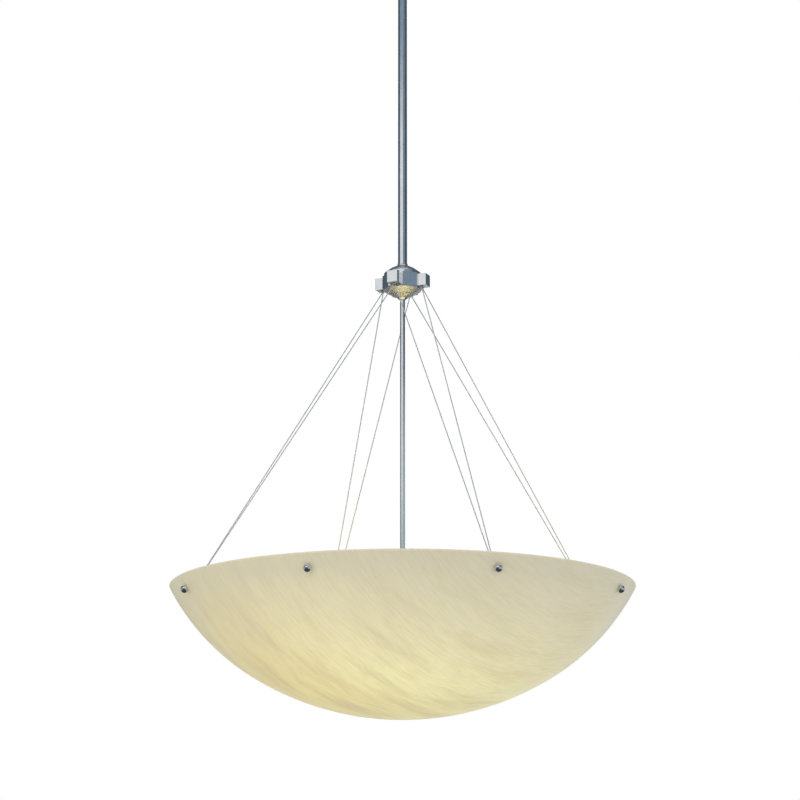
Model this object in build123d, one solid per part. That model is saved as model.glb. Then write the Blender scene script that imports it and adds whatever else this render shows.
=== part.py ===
from build123d import *
import os
from math import acos, cos, radians, sin, sqrt

# Alabaster bowl pendant, millimetres, +Z up, hanging from the ceiling plane at Z = 0.
# Azimuths are counted from the front (-Y) towards +X, in degrees.

# ---------------------------------------------------------------- driving dimensions

# fits
RUNNING_FIT = 0.05          # radial play of screws, tubes and trunnions in their holes
SEAT_GAP = 0.2              # play behind a flat face that seats on a curved one

# bowl
BOWL_DIAMETER = 1230.0      # 48 in nominal, over the lip
BOWL_WALL = 6.0
BOWL_CROWN_RADIUS = 761.3   # outer radius of the flat middle of the bowl
BOWL_CROWN_ANGLE = 32.1     # slope at which the crown turns into the tighter shoulder
BOWL_EDGE_ANGLE = 61.7      # slope of the outer face at the rim
BOWL_EDGE_ROUND = 1.5

# rim fittings: ball nut, washer, wall, bush, ring, then lug or spacer, on one screw
RIM_STATIONS = 8
RIM_FIRST_AZIMUTH = 22.5
STATION_DROP = 32.7         # screw line below the rim, where it leaves the outer face
BALL_RADIUS = 10.5
BALL_SEAT_RADIUS = 9.3
BALL_BORE_DEPTH = 12.0
WASHER_RADIUS = 8.5
WASHER_THICKNESS = 1.0
WALL_HOLE_RADIUS = 4.5
BUSH_RADIUS = 9.0
BUSH_THICKNESS = 3.0
RIM_SCREW_RADIUS = 3.0
RIM_SCREW_HEAD_RADIUS = 5.5
RIM_SCREW_HEAD_HEIGHT = 4.0
RIM_SCREW_REACH = 11.0      # how far the screw stands out of the wall, into the ball nut
RING_WIDTH = 32.0
RING_THICKNESS = 4.0
SPACER_RADIUS = 9.0

# cable lugs on the ring
LUG_WIDTH = 28.0
LUG_LEG = 4.0               # thickness of the leg under the screw head, and of the spacers
LUG_LEG_REACH = 14.0        # leg below the screw line
LUG_TOP_DROP = 4.0          # top of the lug below the rim
LUG_ARM_HEIGHT = 12.0
LUG_ARM_REACH = 11.0        # arm beyond the rope holes, towards the middle
ANCHOR_INSET = 50.3         # rope seats in from the rim radius
ANCHOR_DROP = 8.8           # rope seats below the rim

# ropes
CABLE_RADIUS = 1.6          # 1/8 in wire rope
CABLE_BEND_RADIUS = 8.0     # at the mouth of the gland
CABLE_TAIL = 3.0            # rope beyond its stop
CABLE_TURN_RISE = 2.0       # bend of the rope above the mouth of the gland
TOP_PAIR_SPACING = 4.4      # the two ropes of a block, at the gland
SEAT_PAIR_SPACING = 4.4     # the two ropes of a lug, at their seat
TOP_STOP_RADIUS = 5.3
TOP_STOP_LENGTH = 10.0
LOW_STOP_RADIUS = 6.5
LOW_STOP_LENGTH = 9.0
LUG_HOLE_RADIUS = 4.1

# hub
HUB_ACROSS_FLATS = 101.6    # 4 in octagon
HUB_HEIGHT = 38.0
HUB_WALL = 5.0
HUB_DECK = 6.0
HUB_ABOVE_RIM = 825.0       # underside of the octagon above the bowl's rim
BLOCK_FIRST_AZIMUTH = -22.5
BLOCK_COUNT = 4
BLOCK_WIDTH = 31.0
BLOCK_DEPTH = 24.0
BLOCK_HEIGHT = 33.0
BLOCK_CHAMFER = 0.8
BLOCK_SCREW_SPACING = 22.0
BLOCK_SCREW_RADIUS = 2.5
BLOCK_SCREW_LENGTH = 16.0
BLOCK_SCREW_HEAD_RADIUS = 4.25
BLOCK_SCREW_HEAD_HEIGHT = 4.0
CABLE_EXIT_OFFSET = 7.6     # glands out from the octagon's face
GLAND_RADIUS = 6.5
GLAND_PROUD = 3.0
GLAND_STEM_RADIUS = 5.5
GLAND_STEM = 8.0
GLAND_BORE_RADIUS = 4.1
GLAND_MOUTH_RADIUS = 5.6
GLAND_FLARE = 4.5
HUB_TOP_FLANGE = 6.5        # straight edge of the hub top
HUB_TOP_SHOULDER_RADIUS = 34.0
HUB_TOP_SHOULDER_RISE = 19.5
HUB_TOP_NECK_RADIUS = 19.0
HUB_TOP_NECK_RISE = 27.0
HUB_COLLAR_RADIUS = 14.0
HUB_COLLAR_FOOT_RISE = 31.0
HUB_TOP_HOLLOW = 0.3        # how far the curve under the collar swings in, as a share
HUB_TOP_HEIGHT = 34.5
STEM_IN_COLLAR = 22.0
HUB_BASE_FLANGE = 3.6
HUB_BASE_WALL = 3.0
HUB_BASE_STEP_RADIUS = 31.0
HUB_BASE_STEP_DROP = 14.6
HUB_BASE_STEP_HEIGHT = 1.8
HUB_BASE_LAND_RADIUS = 15.2
HUB_BASE_LAND_DROP = 23.0
NOSE_RADIUS = 14.6
NOSE_HEIGHT = 6.5
NOSE_EDGE = 1.0             # straight edge above its cone
NOSE_LIP = 2.0              # width of its end round the stem
NIPPLE_RADIUS = 9.5
NIPPLE_IN_NOSE = 4.0
HUB_LOCK_NUT_FLATS = 27.0
HUB_LOCK_NUT_HEIGHT = 7.0

# stems
UPPER_STEM_RADIUS = 12.5    # 25 mm tube
UPPER_STEM_BORE = 10.5
UPPER_STEM_LENGTH = 844.5
LOWER_STEM_RADIUS = 6.85    # 1/4 in nominal tube
LOWER_STEM_BORE = 4.6
LOWER_STEM_LENGTH = 950.0
LOWER_STEM_IN_HUB = 34.0    # above the underside of the nose nut

# swivel and stem head
PIVOT_INSIDE_CANOPY = 8.0   # trunnion line above the canopy's mouth
YOKE_RADIUS = 15.0
YOKE_DISC = 4.0
YOKE_SLOT_WIDTH = 20.0
YOKE_BELOW_PIVOT = 6.0
YOKE_LUG_REACH = 3.8
STOP_WIDTH = 3.0            # stop pin and yoke lug
STOP_CLEARANCE = 0.3        # between the stop pin and the yoke's disc
STOP_PIN_RISE = 1.0         # end of the pin above the underside of the disc
SWIVEL_AXIAL_PLAY = 0.1
SWIVEL_NIPPLE_RADIUS = 6.4
SWIVEL_NIPPLE_BORE = 4.0
SWIVEL_FLANGE_RADIUS = 9.0
SWIVEL_FLANGE_THICKNESS = 3.5
SWIVEL_LOCK_NUT_FLATS = 19.0
SWIVEL_LOCK_NUT_HEIGHT = 5.0
TRUNNION_RADIUS = 3.0
TRUNNION_DEPTH = 4.0        # into the tongue
TRUNNION_HEAD_RADIUS = 4.5
TRUNNION_HEAD_HEIGHT = 1.8
TONGUE_PLAY = 0.3
TONGUE_RADIUS = 8.0
WIRE_BORE_RADIUS = 4.4
STEM_HEAD_DROP = 18.0       # top of the cap below the trunnions
STEM_HEAD_RADIUS = 15.0
STEM_HEAD_HEIGHT = 24.0
STEM_HEAD_SOCKET = 19.0

# ceiling pieces
CANOPY_DIAMETER = 152.4     # 6 in
CANOPY_DEPTH = 38.0
CANOPY_WALL = 1.5
CANOPY_MOUTH_RADIUS = 17.5
CANOPY_SIDE = 8.0           # straight side above the rounded shoulder
CANOPY_SHOULDER = 24.0
CROSSBAR_LENGTH = 114.0
CROSSBAR_WIDTH = 25.0
CROSSBAR_THICKNESS = 4.0
SLOT_SPACING = 88.9         # 3 1/2 in ceiling box
SLOT_LENGTH = 12.0
SLOT_HALF_WIDTH = 2.3
STUD_SPACING = 68.0
STUD_RADIUS = 2.5
STUD_IN_NUT = 7.0
CANOPY_NUT_RADIUS = 8.0
CANOPY_NUT_SEAT_RADIUS = 5.0
GROUND_SCREW_X = -23.0
GROUND_SCREW_Y = 7.0
GROUND_SCREW_RADIUS = 2.0
GROUND_SCREW_HEAD_RADIUS = 4.0
GROUND_SCREW_HEAD_HEIGHT = 2.6

# lamp cluster
CLUSTER_FLATS = 110.0       # hexagonal pan
CLUSTER_HEIGHT = 40.0
CLUSTER_WALL = 2.5
CLUSTER_CAP_RADIUS = 18.0
CLUSTER_CAP_HEIGHT = 14.0
CLUSTER_CAP_EDGE = 3.0      # height of its straight edge
CLUSTER_CAP_LIP = 3.0       # width of its top round the stem
STEM_IN_CLUSTER = 14.0
CLUSTER_NUT_FLATS = 22.0
CLUSTER_NUT_HEIGHT = 6.0
COVER_LIP = 2.0
COVER_THICKNESS = 3.0
COVER_STUD_RADIUS = 3.0
COVER_STUD_PLUG = 12.0
FINIAL_RADIUS = 9.0
FINIAL_NECK_RADIUS = 4.5
FINIAL_BALL_RADIUS = 7.0
FINIAL_HEIGHT = 18.0
LAMP_COUNT = 6
ARM_RADIUS = 5.0
ARM_BORE = 3.5
ARM_LEVEL_RUN = 42.0        # from the pan's side to the bend
ARM_RISING_RUN = 40.0
ARM_BEND_RADIUS = 30.0
ARM_INSIDE = 8.0
ARM_COLLAR_RADIUS = 8.0
ARM_COLLAR_WIDTH = 3.0
ARM_NUT_FLATS = 14.0
ARM_NUT_HEIGHT = 5.0
LAMP_RISE = 25.0            # slope of the sockets above level, degrees
SOCKET_RADIUS = 20.0
SOCKET_NECK_RADIUS = 12.0
SOCKET_LENGTH = 50.0
SOCKET_NECK_LENGTH = 12.0
SOCKET_SHOULDER = 5.0       # height of the slope from neck to body
SOCKET_CAVITY_RADIUS = 13.6
SOCKET_CAVITY_DEPTH = 28.0
SOCKET_GRIP = 10.0          # arm inside the socket
LAMP_BASE_RADIUS = 13.1
LAMP_BASE_LENGTH = 27.5
LAMP_TIP_GAP = 0.5
LAMP_LENGTH = 110.0
LAMP_RADIUS = 30.0
LAMP_NECK_RADIUS = 15.0
LAMP_NECK_RISE = 3.0        # foot of the glass above the screw shell
LAMP_NECK_JOIN = 25.0       # where the neck meets the ball, degrees below its middle
LAMP_NECK_SWELL = 2.0       # how far the neck bulges from a straight cone
LAMP_TIP_RADIUS = 5.2
LAMP_TIP_HEIGHT = 5.0

# ---------------------------------------------------------------- derived places

bowl_radius = BOWL_DIAMETER / 2
crown_angle = radians(BOWL_CROWN_ANGLE)
edge_angle = radians(BOWL_EDGE_ANGLE)
hub_apothem = HUB_ACROSS_FLATS / 2

# heights, from the ceiling down
stop_pin_x = YOKE_RADIUS + STOP_CLEARANCE + STOP_WIDTH / 2
pivot_z = -(CANOPY_DEPTH - PIVOT_INSIDE_CANOPY)
head_top_z = pivot_z - STEM_HEAD_DROP
head_bottom_z = head_top_z - STEM_HEAD_HEIGHT
upper_stem_top_z = head_bottom_z + STEM_HEAD_SOCKET
upper_stem_bottom_z = upper_stem_top_z - UPPER_STEM_LENGTH
hub_top_z = upper_stem_bottom_z + STEM_IN_COLLAR
hub_deck_z = hub_top_z - HUB_TOP_HEIGHT
hub_bottom_z = hub_deck_z - HUB_HEIGHT
hub_middle_z = (hub_deck_z + hub_bottom_z) / 2
block_bottom_z = hub_middle_z - BLOCK_HEIGHT / 2
land_z = hub_bottom_z - HUB_BASE_LAND_DROP
nose_bottom_z = land_z - NOSE_HEIGHT
rim_z = hub_bottom_z - HUB_ABOVE_RIM
lower_stem_top_z = nose_bottom_z + LOWER_STEM_IN_HUB
lower_stem_bottom_z = lower_stem_top_z - LOWER_STEM_LENGTH
pan_top_z = lower_stem_bottom_z + STEM_IN_CLUSTER
pan_bottom_z = pan_top_z - CLUSTER_HEIGHT
arm_z = (pan_top_z + pan_bottom_z) / 2

# centres of the bowl section's two arcs
shoulder_radius = (bowl_radius - BOWL_CROWN_RADIUS * sin(crown_angle)) / (
    sin(edge_angle) - sin(crown_angle)
)
shoulder_centre_r = bowl_radius - shoulder_radius * sin(edge_angle)
shoulder_centre_z = rim_z + shoulder_radius * cos(edge_angle)
crown_centre_z = shoulder_centre_z + (BOWL_CROWN_RADIUS - shoulder_radius) * cos(crown_angle)
station_angle = acos((shoulder_centre_z - rim_z + STATION_DROP) / shoulder_radius)

# depths behind the outer face of the bowl, along a rim screw
bush_face = BOWL_WALL + SEAT_GAP / 2
ring_face = bush_face + BUSH_THICKNESS
lug_face = ring_face + RING_THICKNESS + SEAT_GAP
head_face = lug_face + LUG_LEG

station_azimuths = [RIM_FIRST_AZIMUTH + 360 / RIM_STATIONS * k for k in range(RIM_STATIONS)]
block_azimuths = [BLOCK_FIRST_AZIMUTH + 360 / BLOCK_COUNT * k for k in range(BLOCK_COUNT)]
half_turn = 180 / BLOCK_COUNT
anchor_azimuths = [azimuth + half_turn for azimuth in block_azimuths]
lamp_azimuths = [360 / LAMP_COUNT * k for k in range(LAMP_COUNT)]

anchor_radius = bowl_radius - ANCHOR_INSET
anchor_z = rim_z - ANCHOR_DROP
cable_exit_radius = hub_apothem + CABLE_EXIT_OFFSET
cable_corner_z = block_bottom_z - GLAND_PROUD + CABLE_TURN_RISE
gland_top_z = block_bottom_z + GLAND_STEM
cable_top_z = gland_top_z + TOP_STOP_LENGTH + CABLE_TAIL

STANDING = (Align.CENTER, Align.CENTER, Align.MIN)

# ---------------------------------------------------------------- helpers


def outward(azimuth):
    """Level unit vector away from the axis."""
    return Vector(sin(radians(azimuth)), -cos(radians(azimuth)), 0)


def sideways(azimuth):
    """Level unit vector along the growing azimuth."""
    return Vector(cos(radians(azimuth)), sin(radians(azimuth)), 0)


def place(azimuth, radius, height, side=0.0):
    return outward(azimuth) * radius + sideways(azimuth) * side + Vector(0, 0, height)


def meridian(azimuth):
    """Upright plane through the axis: its x runs outwards, its y runs up."""
    return Plane(origin=(0, 0, 0), x_dir=outward(azimuth), z_dir=sideways(azimuth) * -1)


def turned(*edges):
    """Solid of revolution from a closed outline in the XZ plane."""
    return revolve(make_face(edges), Axis.Z)


def outline(*points):
    """Straight runs through (radius, height) points."""
    return Polyline(*[(r, 0, z) for r, z in points])


def arc(start, middle, end):
    return ThreePointArc(*[(r, 0, z) for r, z in (start, middle, end)])


def upright(radius, low, high, x=0.0, y=0.0):
    return Pos(x, y, low) * Cylinder(radius, high - low, align=STANDING)


def pipe(radius, bore, low, high):
    return upright(radius, low, high) - upright(bore, low, high)


def rod(radius, start, end):
    run = end - start
    return Plane(origin=start, z_dir=run) * Cylinder(radius, run.length, align=STANDING)


def hex_nut(flats, bore, height):
    """Hexagon nut standing on its local XY plane."""
    body = extrude(RegularPolygon(flats / 2, 6, major_radius=False), height)
    return body - Cylinder(bore, height, align=STANDING)


def bowl_point(angle, inset=0.0):
    """Section point where the outer face has this slope, moved into the wall by inset."""
    if angle <= crown_angle:
        reach = BOWL_CROWN_RADIUS - inset
        return reach * sin(angle), crown_centre_z - reach * cos(angle)
    reach = shoulder_radius - inset
    return shoulder_centre_r + reach * sin(angle), shoulder_centre_z - reach * cos(angle)


def rim_point(along, inset):
    """Section point beside a rim screw: up the wall by along, behind it by inset."""
    r, z = bowl_point(station_angle, inset)
    return r + along * cos(station_angle), z + along * sin(station_angle)


def along_at_height(height, inset):
    """How far up the wall, behind it by inset, a height is reached."""
    return (height - bowl_point(station_angle, inset)[1]) / sin(station_angle)


def station(azimuth):
    """Plane on the bowl's outer face at a rim screw, facing outwards."""
    r, z = bowl_point(station_angle)
    normal = outward(azimuth) * sin(station_angle) - Vector(0, 0, cos(station_angle))
    return Plane(origin=place(azimuth, r, z), x_dir=sideways(azimuth), z_dir=normal)


def washer(radius, bore, low, high):
    """Disc with a hole between two local heights."""
    return pipe(radius, bore, low, high)


def ball_nut(radius, seat_radius, bore, depth):
    """Ball with a flat seat on its local XY plane and a blind screw hole."""
    centre = sqrt(radius**2 - seat_radius**2)
    ball = Pos(0, 0, centre) * Sphere(radius)
    ball -= Cylinder(radius * 2, radius, align=(Align.CENTER, Align.CENTER, Align.MAX))
    return ball - Cylinder(bore, depth, align=STANDING)


parts = {}


def keep(name, *shapes):
    parts[name] = [solid for shape in shapes for solid in shape.solids()]


# ---------------------------------------------------------------- bowl


def make_bowl():
    inner_edge = acos((shoulder_centre_z - rim_z) / (shoulder_radius - BOWL_WALL))

    def face_arcs(edge, inset):
        knots = [0, crown_angle / 2, crown_angle, (crown_angle + edge) / 2, edge]
        points = [bowl_point(angle, inset) for angle in knots]
        return arc(*points[:3]), arc(*points[2:])

    section = [
        *face_arcs(edge_angle, 0),
        *face_arcs(inner_edge, BOWL_WALL),
        outline(bowl_point(edge_angle), bowl_point(inner_edge, BOWL_WALL)),
        outline(bowl_point(0), bowl_point(0, BOWL_WALL)),
    ]
    bowl = turned(*section)
    rim_edges = bowl.edges().filter_by(GeomType.CIRCLE).sort_by(Axis.Z)[-2:]
    bowl = fillet(rim_edges, BOWL_EDGE_ROUND)
    for azimuth in station_azimuths:
        hole = Cylinder(WALL_HOLE_RADIUS, BOWL_WALL * 4)
        bowl -= station(azimuth) * hole
    keep("bowl", bowl)


# ---------------------------------------------------------------- rim fittings


def make_rim_ring():
    half = RING_WIDTH / 2
    back = ring_face + RING_THICKNESS
    corners = [(-half, ring_face), (half, ring_face), (half, back), (-half, back)]
    points = [rim_point(*corner) for corner in corners]
    ring = turned(outline(*points, points[0]))
    for azimuth in station_azimuths:
        clearance_hole = Cylinder(RIM_SCREW_RADIUS + RUNNING_FIT, ring_face * 4)
        ring -= station(azimuth) * clearance_hole
    keep("rim_ring", ring)


def make_rim_screws():
    bore = RIM_SCREW_RADIUS + RUNNING_FIT
    nut = ball_nut(BALL_RADIUS, BALL_SEAT_RADIUS, bore, BALL_BORE_DEPTH)
    nut = Pos(0, 0, WASHER_THICKNESS) * nut
    face_washer = washer(WASHER_RADIUS, bore, 0, WASHER_THICKNESS)
    bush = washer(BUSH_RADIUS, bore, -ring_face, -bush_face)
    bush += washer(WALL_HOLE_RADIUS - RUNNING_FIT, bore, -bush_face, -SEAT_GAP)
    shank = Pos(0, 0, -head_face) * Cylinder(
        RIM_SCREW_RADIUS, head_face + RIM_SCREW_REACH, align=STANDING
    )
    head = Pos(0, 0, -head_face - RIM_SCREW_HEAD_HEIGHT) * Cylinder(
        RIM_SCREW_HEAD_RADIUS, RIM_SCREW_HEAD_HEIGHT, align=STANDING
    )
    spacer = washer(SPACER_RADIUS, bore, -head_face, -lug_face)
    free_azimuths = station_azimuths[1::2]
    keep("ball_nuts", *[station(a) * nut for a in station_azimuths])
    keep("nut_washers", *[station(a) * face_washer for a in station_azimuths])
    keep("wall_bushes", *[station(a) * bush for a in station_azimuths])
    keep("rim_screws", *[station(a) * (shank + head) for a in station_azimuths])
    keep("ring_spacers", *[station(a) * spacer for a in free_azimuths])


def cable_run(block_azimuth, side):
    """Seat on the lug and corner at the gland of one rope of a block."""
    seat = place(
        block_azimuth + side * half_turn, anchor_radius, anchor_z, -side * SEAT_PAIR_SPACING / 2
    )
    corner = place(block_azimuth, cable_exit_radius, cable_corner_z, side * TOP_PAIR_SPACING / 2)
    return seat, corner


def pull_direction(anchor_azimuth):
    """Mean direction of the two ropes of a lug."""
    corners = [cable_run(anchor_azimuth - side * half_turn, side)[1] for side in (-1, 1)]
    middle = (corners[0] + corners[1]) * 0.5
    return (middle - place(anchor_azimuth, anchor_radius, anchor_z)).normalized()


def make_cable_lugs():
    lugs = []
    stops = []
    leg_low = -LUG_LEG_REACH
    top_z = rim_z - LUG_TOP_DROP
    arm_low_z = top_z - LUG_ARM_HEIGHT
    arm_end_r = anchor_radius - LUG_ARM_REACH
    points = [
        rim_point(leg_low, lug_face),
        rim_point(leg_low, head_face),
        rim_point(along_at_height(arm_low_z, head_face), head_face),
        (arm_end_r, arm_low_z),
        (arm_end_r, top_z),
        rim_point(along_at_height(top_z, lug_face), lug_face),
    ]
    for azimuth in anchor_azimuths:
        section = meridian(azimuth) * make_face(Polyline(*points, close=True))
        lug = extrude(section, LUG_WIDTH / 2, both=True)
        lug -= station(azimuth) * Cylinder(RIM_SCREW_RADIUS + RUNNING_FIT, head_face * 4)
        seat = place(azimuth, anchor_radius, anchor_z)
        pull = pull_direction(azimuth)
        lug -= rod(LUG_HOLE_RADIUS, seat, seat + pull * LUG_ARM_HEIGHT * 2)
        lug -= rod(LOW_STOP_RADIUS + SEAT_GAP, seat - pull * LUG_ARM_HEIGHT * 2, seat)
        lugs.append(lug)
        stop = rod(LOW_STOP_RADIUS, seat - pull * LOW_STOP_LENGTH, seat)
        for side in (-1, 1):
            low, high = cable_run(azimuth - side * half_turn, side)
            run = (high - low).normalized() * LOW_STOP_LENGTH * 2
            stop -= rod(CABLE_RADIUS + RUNNING_FIT, low - run, low + run)
        stops.append(stop)
    keep("cable_lugs", *lugs)
    keep("lower_cable_stops", *stops)


# ---------------------------------------------------------------- ropes


def make_cables():
    number = 0
    for block_azimuth in block_azimuths:
        for side in (-1, 1):
            number += 1
            seat, corner = cable_run(block_azimuth, side)
            run = (corner - seat).normalized()
            tail = seat - run * (LOW_STOP_LENGTH + CABLE_TAIL)
            top = Vector(corner.X, corner.Y, cable_top_z)
            path = FilletPolyline(tail, corner, top, radius=CABLE_BEND_RADIUS)
            cable = sweep(Plane(origin=tail, z_dir=run) * Circle(CABLE_RADIUS), path)
            keep(f"cable_{number}", cable)
    print("rope length", round(path.length, 1), "taut run", round((corner - seat).length, 1))


# ---------------------------------------------------------------- hub


def octagon(apothem, low, high):
    face = RegularPolygon(apothem, 2 * BLOCK_COUNT, major_radius=False)
    return Pos(0, 0, low) * extrude(face, high - low)


def block_screw_lines():
    """Azimuth, start and direction of each screw, from inside the hub outwards."""
    lines = []
    for azimuth in block_azimuths:
        for side in (-1, 1):
            inner_face = hub_apothem - HUB_WALL
            start = place(azimuth, inner_face, hub_middle_z, side * BLOCK_SCREW_SPACING / 2)
            lines.append((start, outward(azimuth)))
    return lines


def make_hub_body():
    body = octagon(hub_apothem, hub_bottom_z, hub_deck_z)
    body -= octagon(hub_apothem - HUB_WALL, hub_bottom_z, hub_deck_z - HUB_DECK)
    body -= upright(NIPPLE_RADIUS + RUNNING_FIT, hub_bottom_z, hub_deck_z)
    for start, direction in block_screw_lines():
        body -= rod(BLOCK_SCREW_RADIUS + RUNNING_FIT, start, start + direction * HUB_WALL)
    keep("hub_body", body)


def make_cable_blocks():
    glands = []
    stops = []
    screws = []
    bore = BLOCK_SCREW_RADIUS + RUNNING_FIT
    for number, azimuth in enumerate(block_azimuths, start=1):
        block = Box(
            BLOCK_DEPTH, BLOCK_HEIGHT, BLOCK_WIDTH, align=(Align.MIN, Align.CENTER, Align.CENTER)
        )
        block = chamfer(block.faces().sort_by(Axis.X)[-1].edges(), BLOCK_CHAMFER)
        block = meridian(azimuth) * Pos(hub_apothem, hub_middle_z, 0) * block
        exit_point = place(azimuth, cable_exit_radius, block_bottom_z)
        x, y = exit_point.X, exit_point.Y
        stop_top_z = cable_top_z + CABLE_TAIL
        block -= upright(GLAND_STEM_RADIUS + RUNNING_FIT, block_bottom_z, stop_top_z, x, y)
        for start, direction in block_screw_lines():
            block -= rod(bore, start, start + direction * (BLOCK_SCREW_LENGTH + 1))
        keep(f"cable_block_{number}", block)

        mouth_z = block_bottom_z - GLAND_PROUD
        bell = turned(
            outline(
                (0, mouth_z),
                (GLAND_MOUTH_RADIUS, mouth_z),
                (GLAND_BORE_RADIUS, mouth_z + GLAND_FLARE),
                (GLAND_BORE_RADIUS, gland_top_z),
                (0, gland_top_z),
                (0, mouth_z),
            )
        )
        gland = upright(GLAND_RADIUS, mouth_z, block_bottom_z)
        gland += upright(GLAND_STEM_RADIUS, block_bottom_z, gland_top_z)
        glands.append(Pos(x, y, 0) * (gland - bell))

        stop = upright(TOP_STOP_RADIUS, gland_top_z, gland_top_z + TOP_STOP_LENGTH, x, y)
        for side in (-1, 1):
            hole = place(azimuth, cable_exit_radius, 0, side * TOP_PAIR_SPACING / 2)
            stop -= upright(
                CABLE_RADIUS + RUNNING_FIT, gland_top_z, gland_top_z + TOP_STOP_LENGTH, hole.X, hole.Y
            )
        stops.append(stop)
    for start, direction in block_screw_lines():
        screw = rod(BLOCK_SCREW_RADIUS, start, start + direction * BLOCK_SCREW_LENGTH)
        screw += rod(BLOCK_SCREW_HEAD_RADIUS, start - direction * BLOCK_SCREW_HEAD_HEIGHT, start)
        screws.append(screw)
    keep("cable_glands", *glands)
    keep("upper_cable_stops", *stops)
    keep("block_screws", *screws)


def make_hub_top():
    stem_seat_z = upper_stem_bottom_z
    edge_z = hub_deck_z + HUB_TOP_FLANGE
    shoulder = (HUB_TOP_SHOULDER_RADIUS, hub_deck_z + HUB_TOP_SHOULDER_RISE)
    neck = (HUB_TOP_NECK_RADIUS, hub_deck_z + HUB_TOP_NECK_RISE)
    foot = (HUB_COLLAR_RADIUS, hub_deck_z + HUB_COLLAR_FOOT_RISE)
    hollow = (
        foot[0] + (neck[0] - foot[0]) * HUB_TOP_HOLLOW,
        neck[1] + (foot[1] - neck[1]) * HUB_TOP_HOLLOW,
    )
    top = turned(
        outline((NIPPLE_RADIUS, hub_deck_z), (hub_apothem, hub_deck_z), (hub_apothem, edge_z)),
        outline((hub_apothem, edge_z), shoulder, neck),
        arc(neck, hollow, foot),
        outline(
            foot,
            (HUB_COLLAR_RADIUS, hub_top_z),
            (UPPER_STEM_RADIUS + RUNNING_FIT, hub_top_z),
            (UPPER_STEM_RADIUS + RUNNING_FIT, stem_seat_z),
            (NIPPLE_RADIUS, stem_seat_z),
            (NIPPLE_RADIUS, hub_deck_z),
        ),
    )
    top -= upright(NIPPLE_RADIUS + RUNNING_FIT, hub_deck_z, stem_seat_z)
    keep("hub_top", top)


def make_hub_base():
    flange_z = hub_bottom_z - HUB_BASE_FLANGE
    step_z = hub_bottom_z - HUB_BASE_STEP_DROP
    step_in = HUB_BASE_STEP_RADIUS - HUB_BASE_STEP_HEIGHT
    bore = NIPPLE_RADIUS + RUNNING_FIT
    wall = HUB_BASE_WALL
    inner_top = hub_apothem - HUB_WALL
    points = [
        (bore, land_z),
        (HUB_BASE_LAND_RADIUS, land_z),
        (step_in, step_z - HUB_BASE_STEP_HEIGHT),
        (HUB_BASE_STEP_RADIUS, step_z - HUB_BASE_STEP_HEIGHT),
        (HUB_BASE_STEP_RADIUS, step_z),
        (hub_apothem, flange_z),
        (hub_apothem, hub_bottom_z),
        (inner_top, hub_bottom_z),
        (inner_top, flange_z + wall),
        (HUB_BASE_STEP_RADIUS - wall, step_z + wall),
        (HUB_BASE_LAND_RADIUS, land_z + wall),
        (bore, land_z + wall),
        (bore, land_z),
    ]
    keep("hub_base", turned(outline(*points)))
    nose = turned(
        outline(
            (LOWER_STEM_RADIUS + RUNNING_FIT, nose_bottom_z),
            (LOWER_STEM_RADIUS + NOSE_LIP, nose_bottom_z),
            (NOSE_RADIUS, land_z - NOSE_EDGE),
            (NOSE_RADIUS, land_z),
            (NIPPLE_RADIUS + RUNNING_FIT, land_z),
            (NIPPLE_RADIUS + RUNNING_FIT, land_z - NIPPLE_IN_NOSE),
            (LOWER_STEM_RADIUS + RUNNING_FIT, land_z - NIPPLE_IN_NOSE),
            (LOWER_STEM_RADIUS + RUNNING_FIT, nose_bottom_z),
        )
    )
    keep("nose_nut", nose)


def make_hub_nipple():
    bore = LOWER_STEM_RADIUS + RUNNING_FIT
    keep("hub_nipple", pipe(NIPPLE_RADIUS, bore, land_z - NIPPLE_IN_NOSE, upper_stem_bottom_z))
    nut = hex_nut(HUB_LOCK_NUT_FLATS, NIPPLE_RADIUS + RUNNING_FIT, HUB_LOCK_NUT_HEIGHT)
    keep("hub_lock_nut", Pos(0, 0, hub_deck_z - HUB_DECK - HUB_LOCK_NUT_HEIGHT) * nut)


# ---------------------------------------------------------------- stems and swivel


def make_stems():
    upper = pipe(UPPER_STEM_RADIUS, UPPER_STEM_BORE, upper_stem_bottom_z, upper_stem_top_z)
    lower = pipe(LOWER_STEM_RADIUS, LOWER_STEM_BORE, lower_stem_bottom_z, lower_stem_top_z)
    keep("upper_stem", upper)
    keep("lower_stem", lower)


def make_stem_head():
    width = YOKE_SLOT_WIDTH - 2 * TONGUE_PLAY
    cap = upright(STEM_HEAD_RADIUS, head_bottom_z, head_top_z)
    tongue = Pos(0, 0, pivot_z) * (Rot(90, 0, 0) * Cylinder(TONGUE_RADIUS, width))
    neck_height = pivot_z - head_top_z
    tongue += Pos(0, 0, head_top_z) * Box(TONGUE_RADIUS * 2, width, neck_height, align=STANDING)
    head = cap + tongue
    head -= upright(UPPER_STEM_RADIUS + RUNNING_FIT, head_bottom_z, upper_stem_top_z)
    head -= upright(WIRE_BORE_RADIUS, head_bottom_z, pivot_z + TONGUE_RADIUS)
    head -= Pos(0, 0, pivot_z) * (Rot(90, 0, 0) * Cylinder(TRUNNION_RADIUS + RUNNING_FIT, width))
    keep("stem_head", head)


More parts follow.
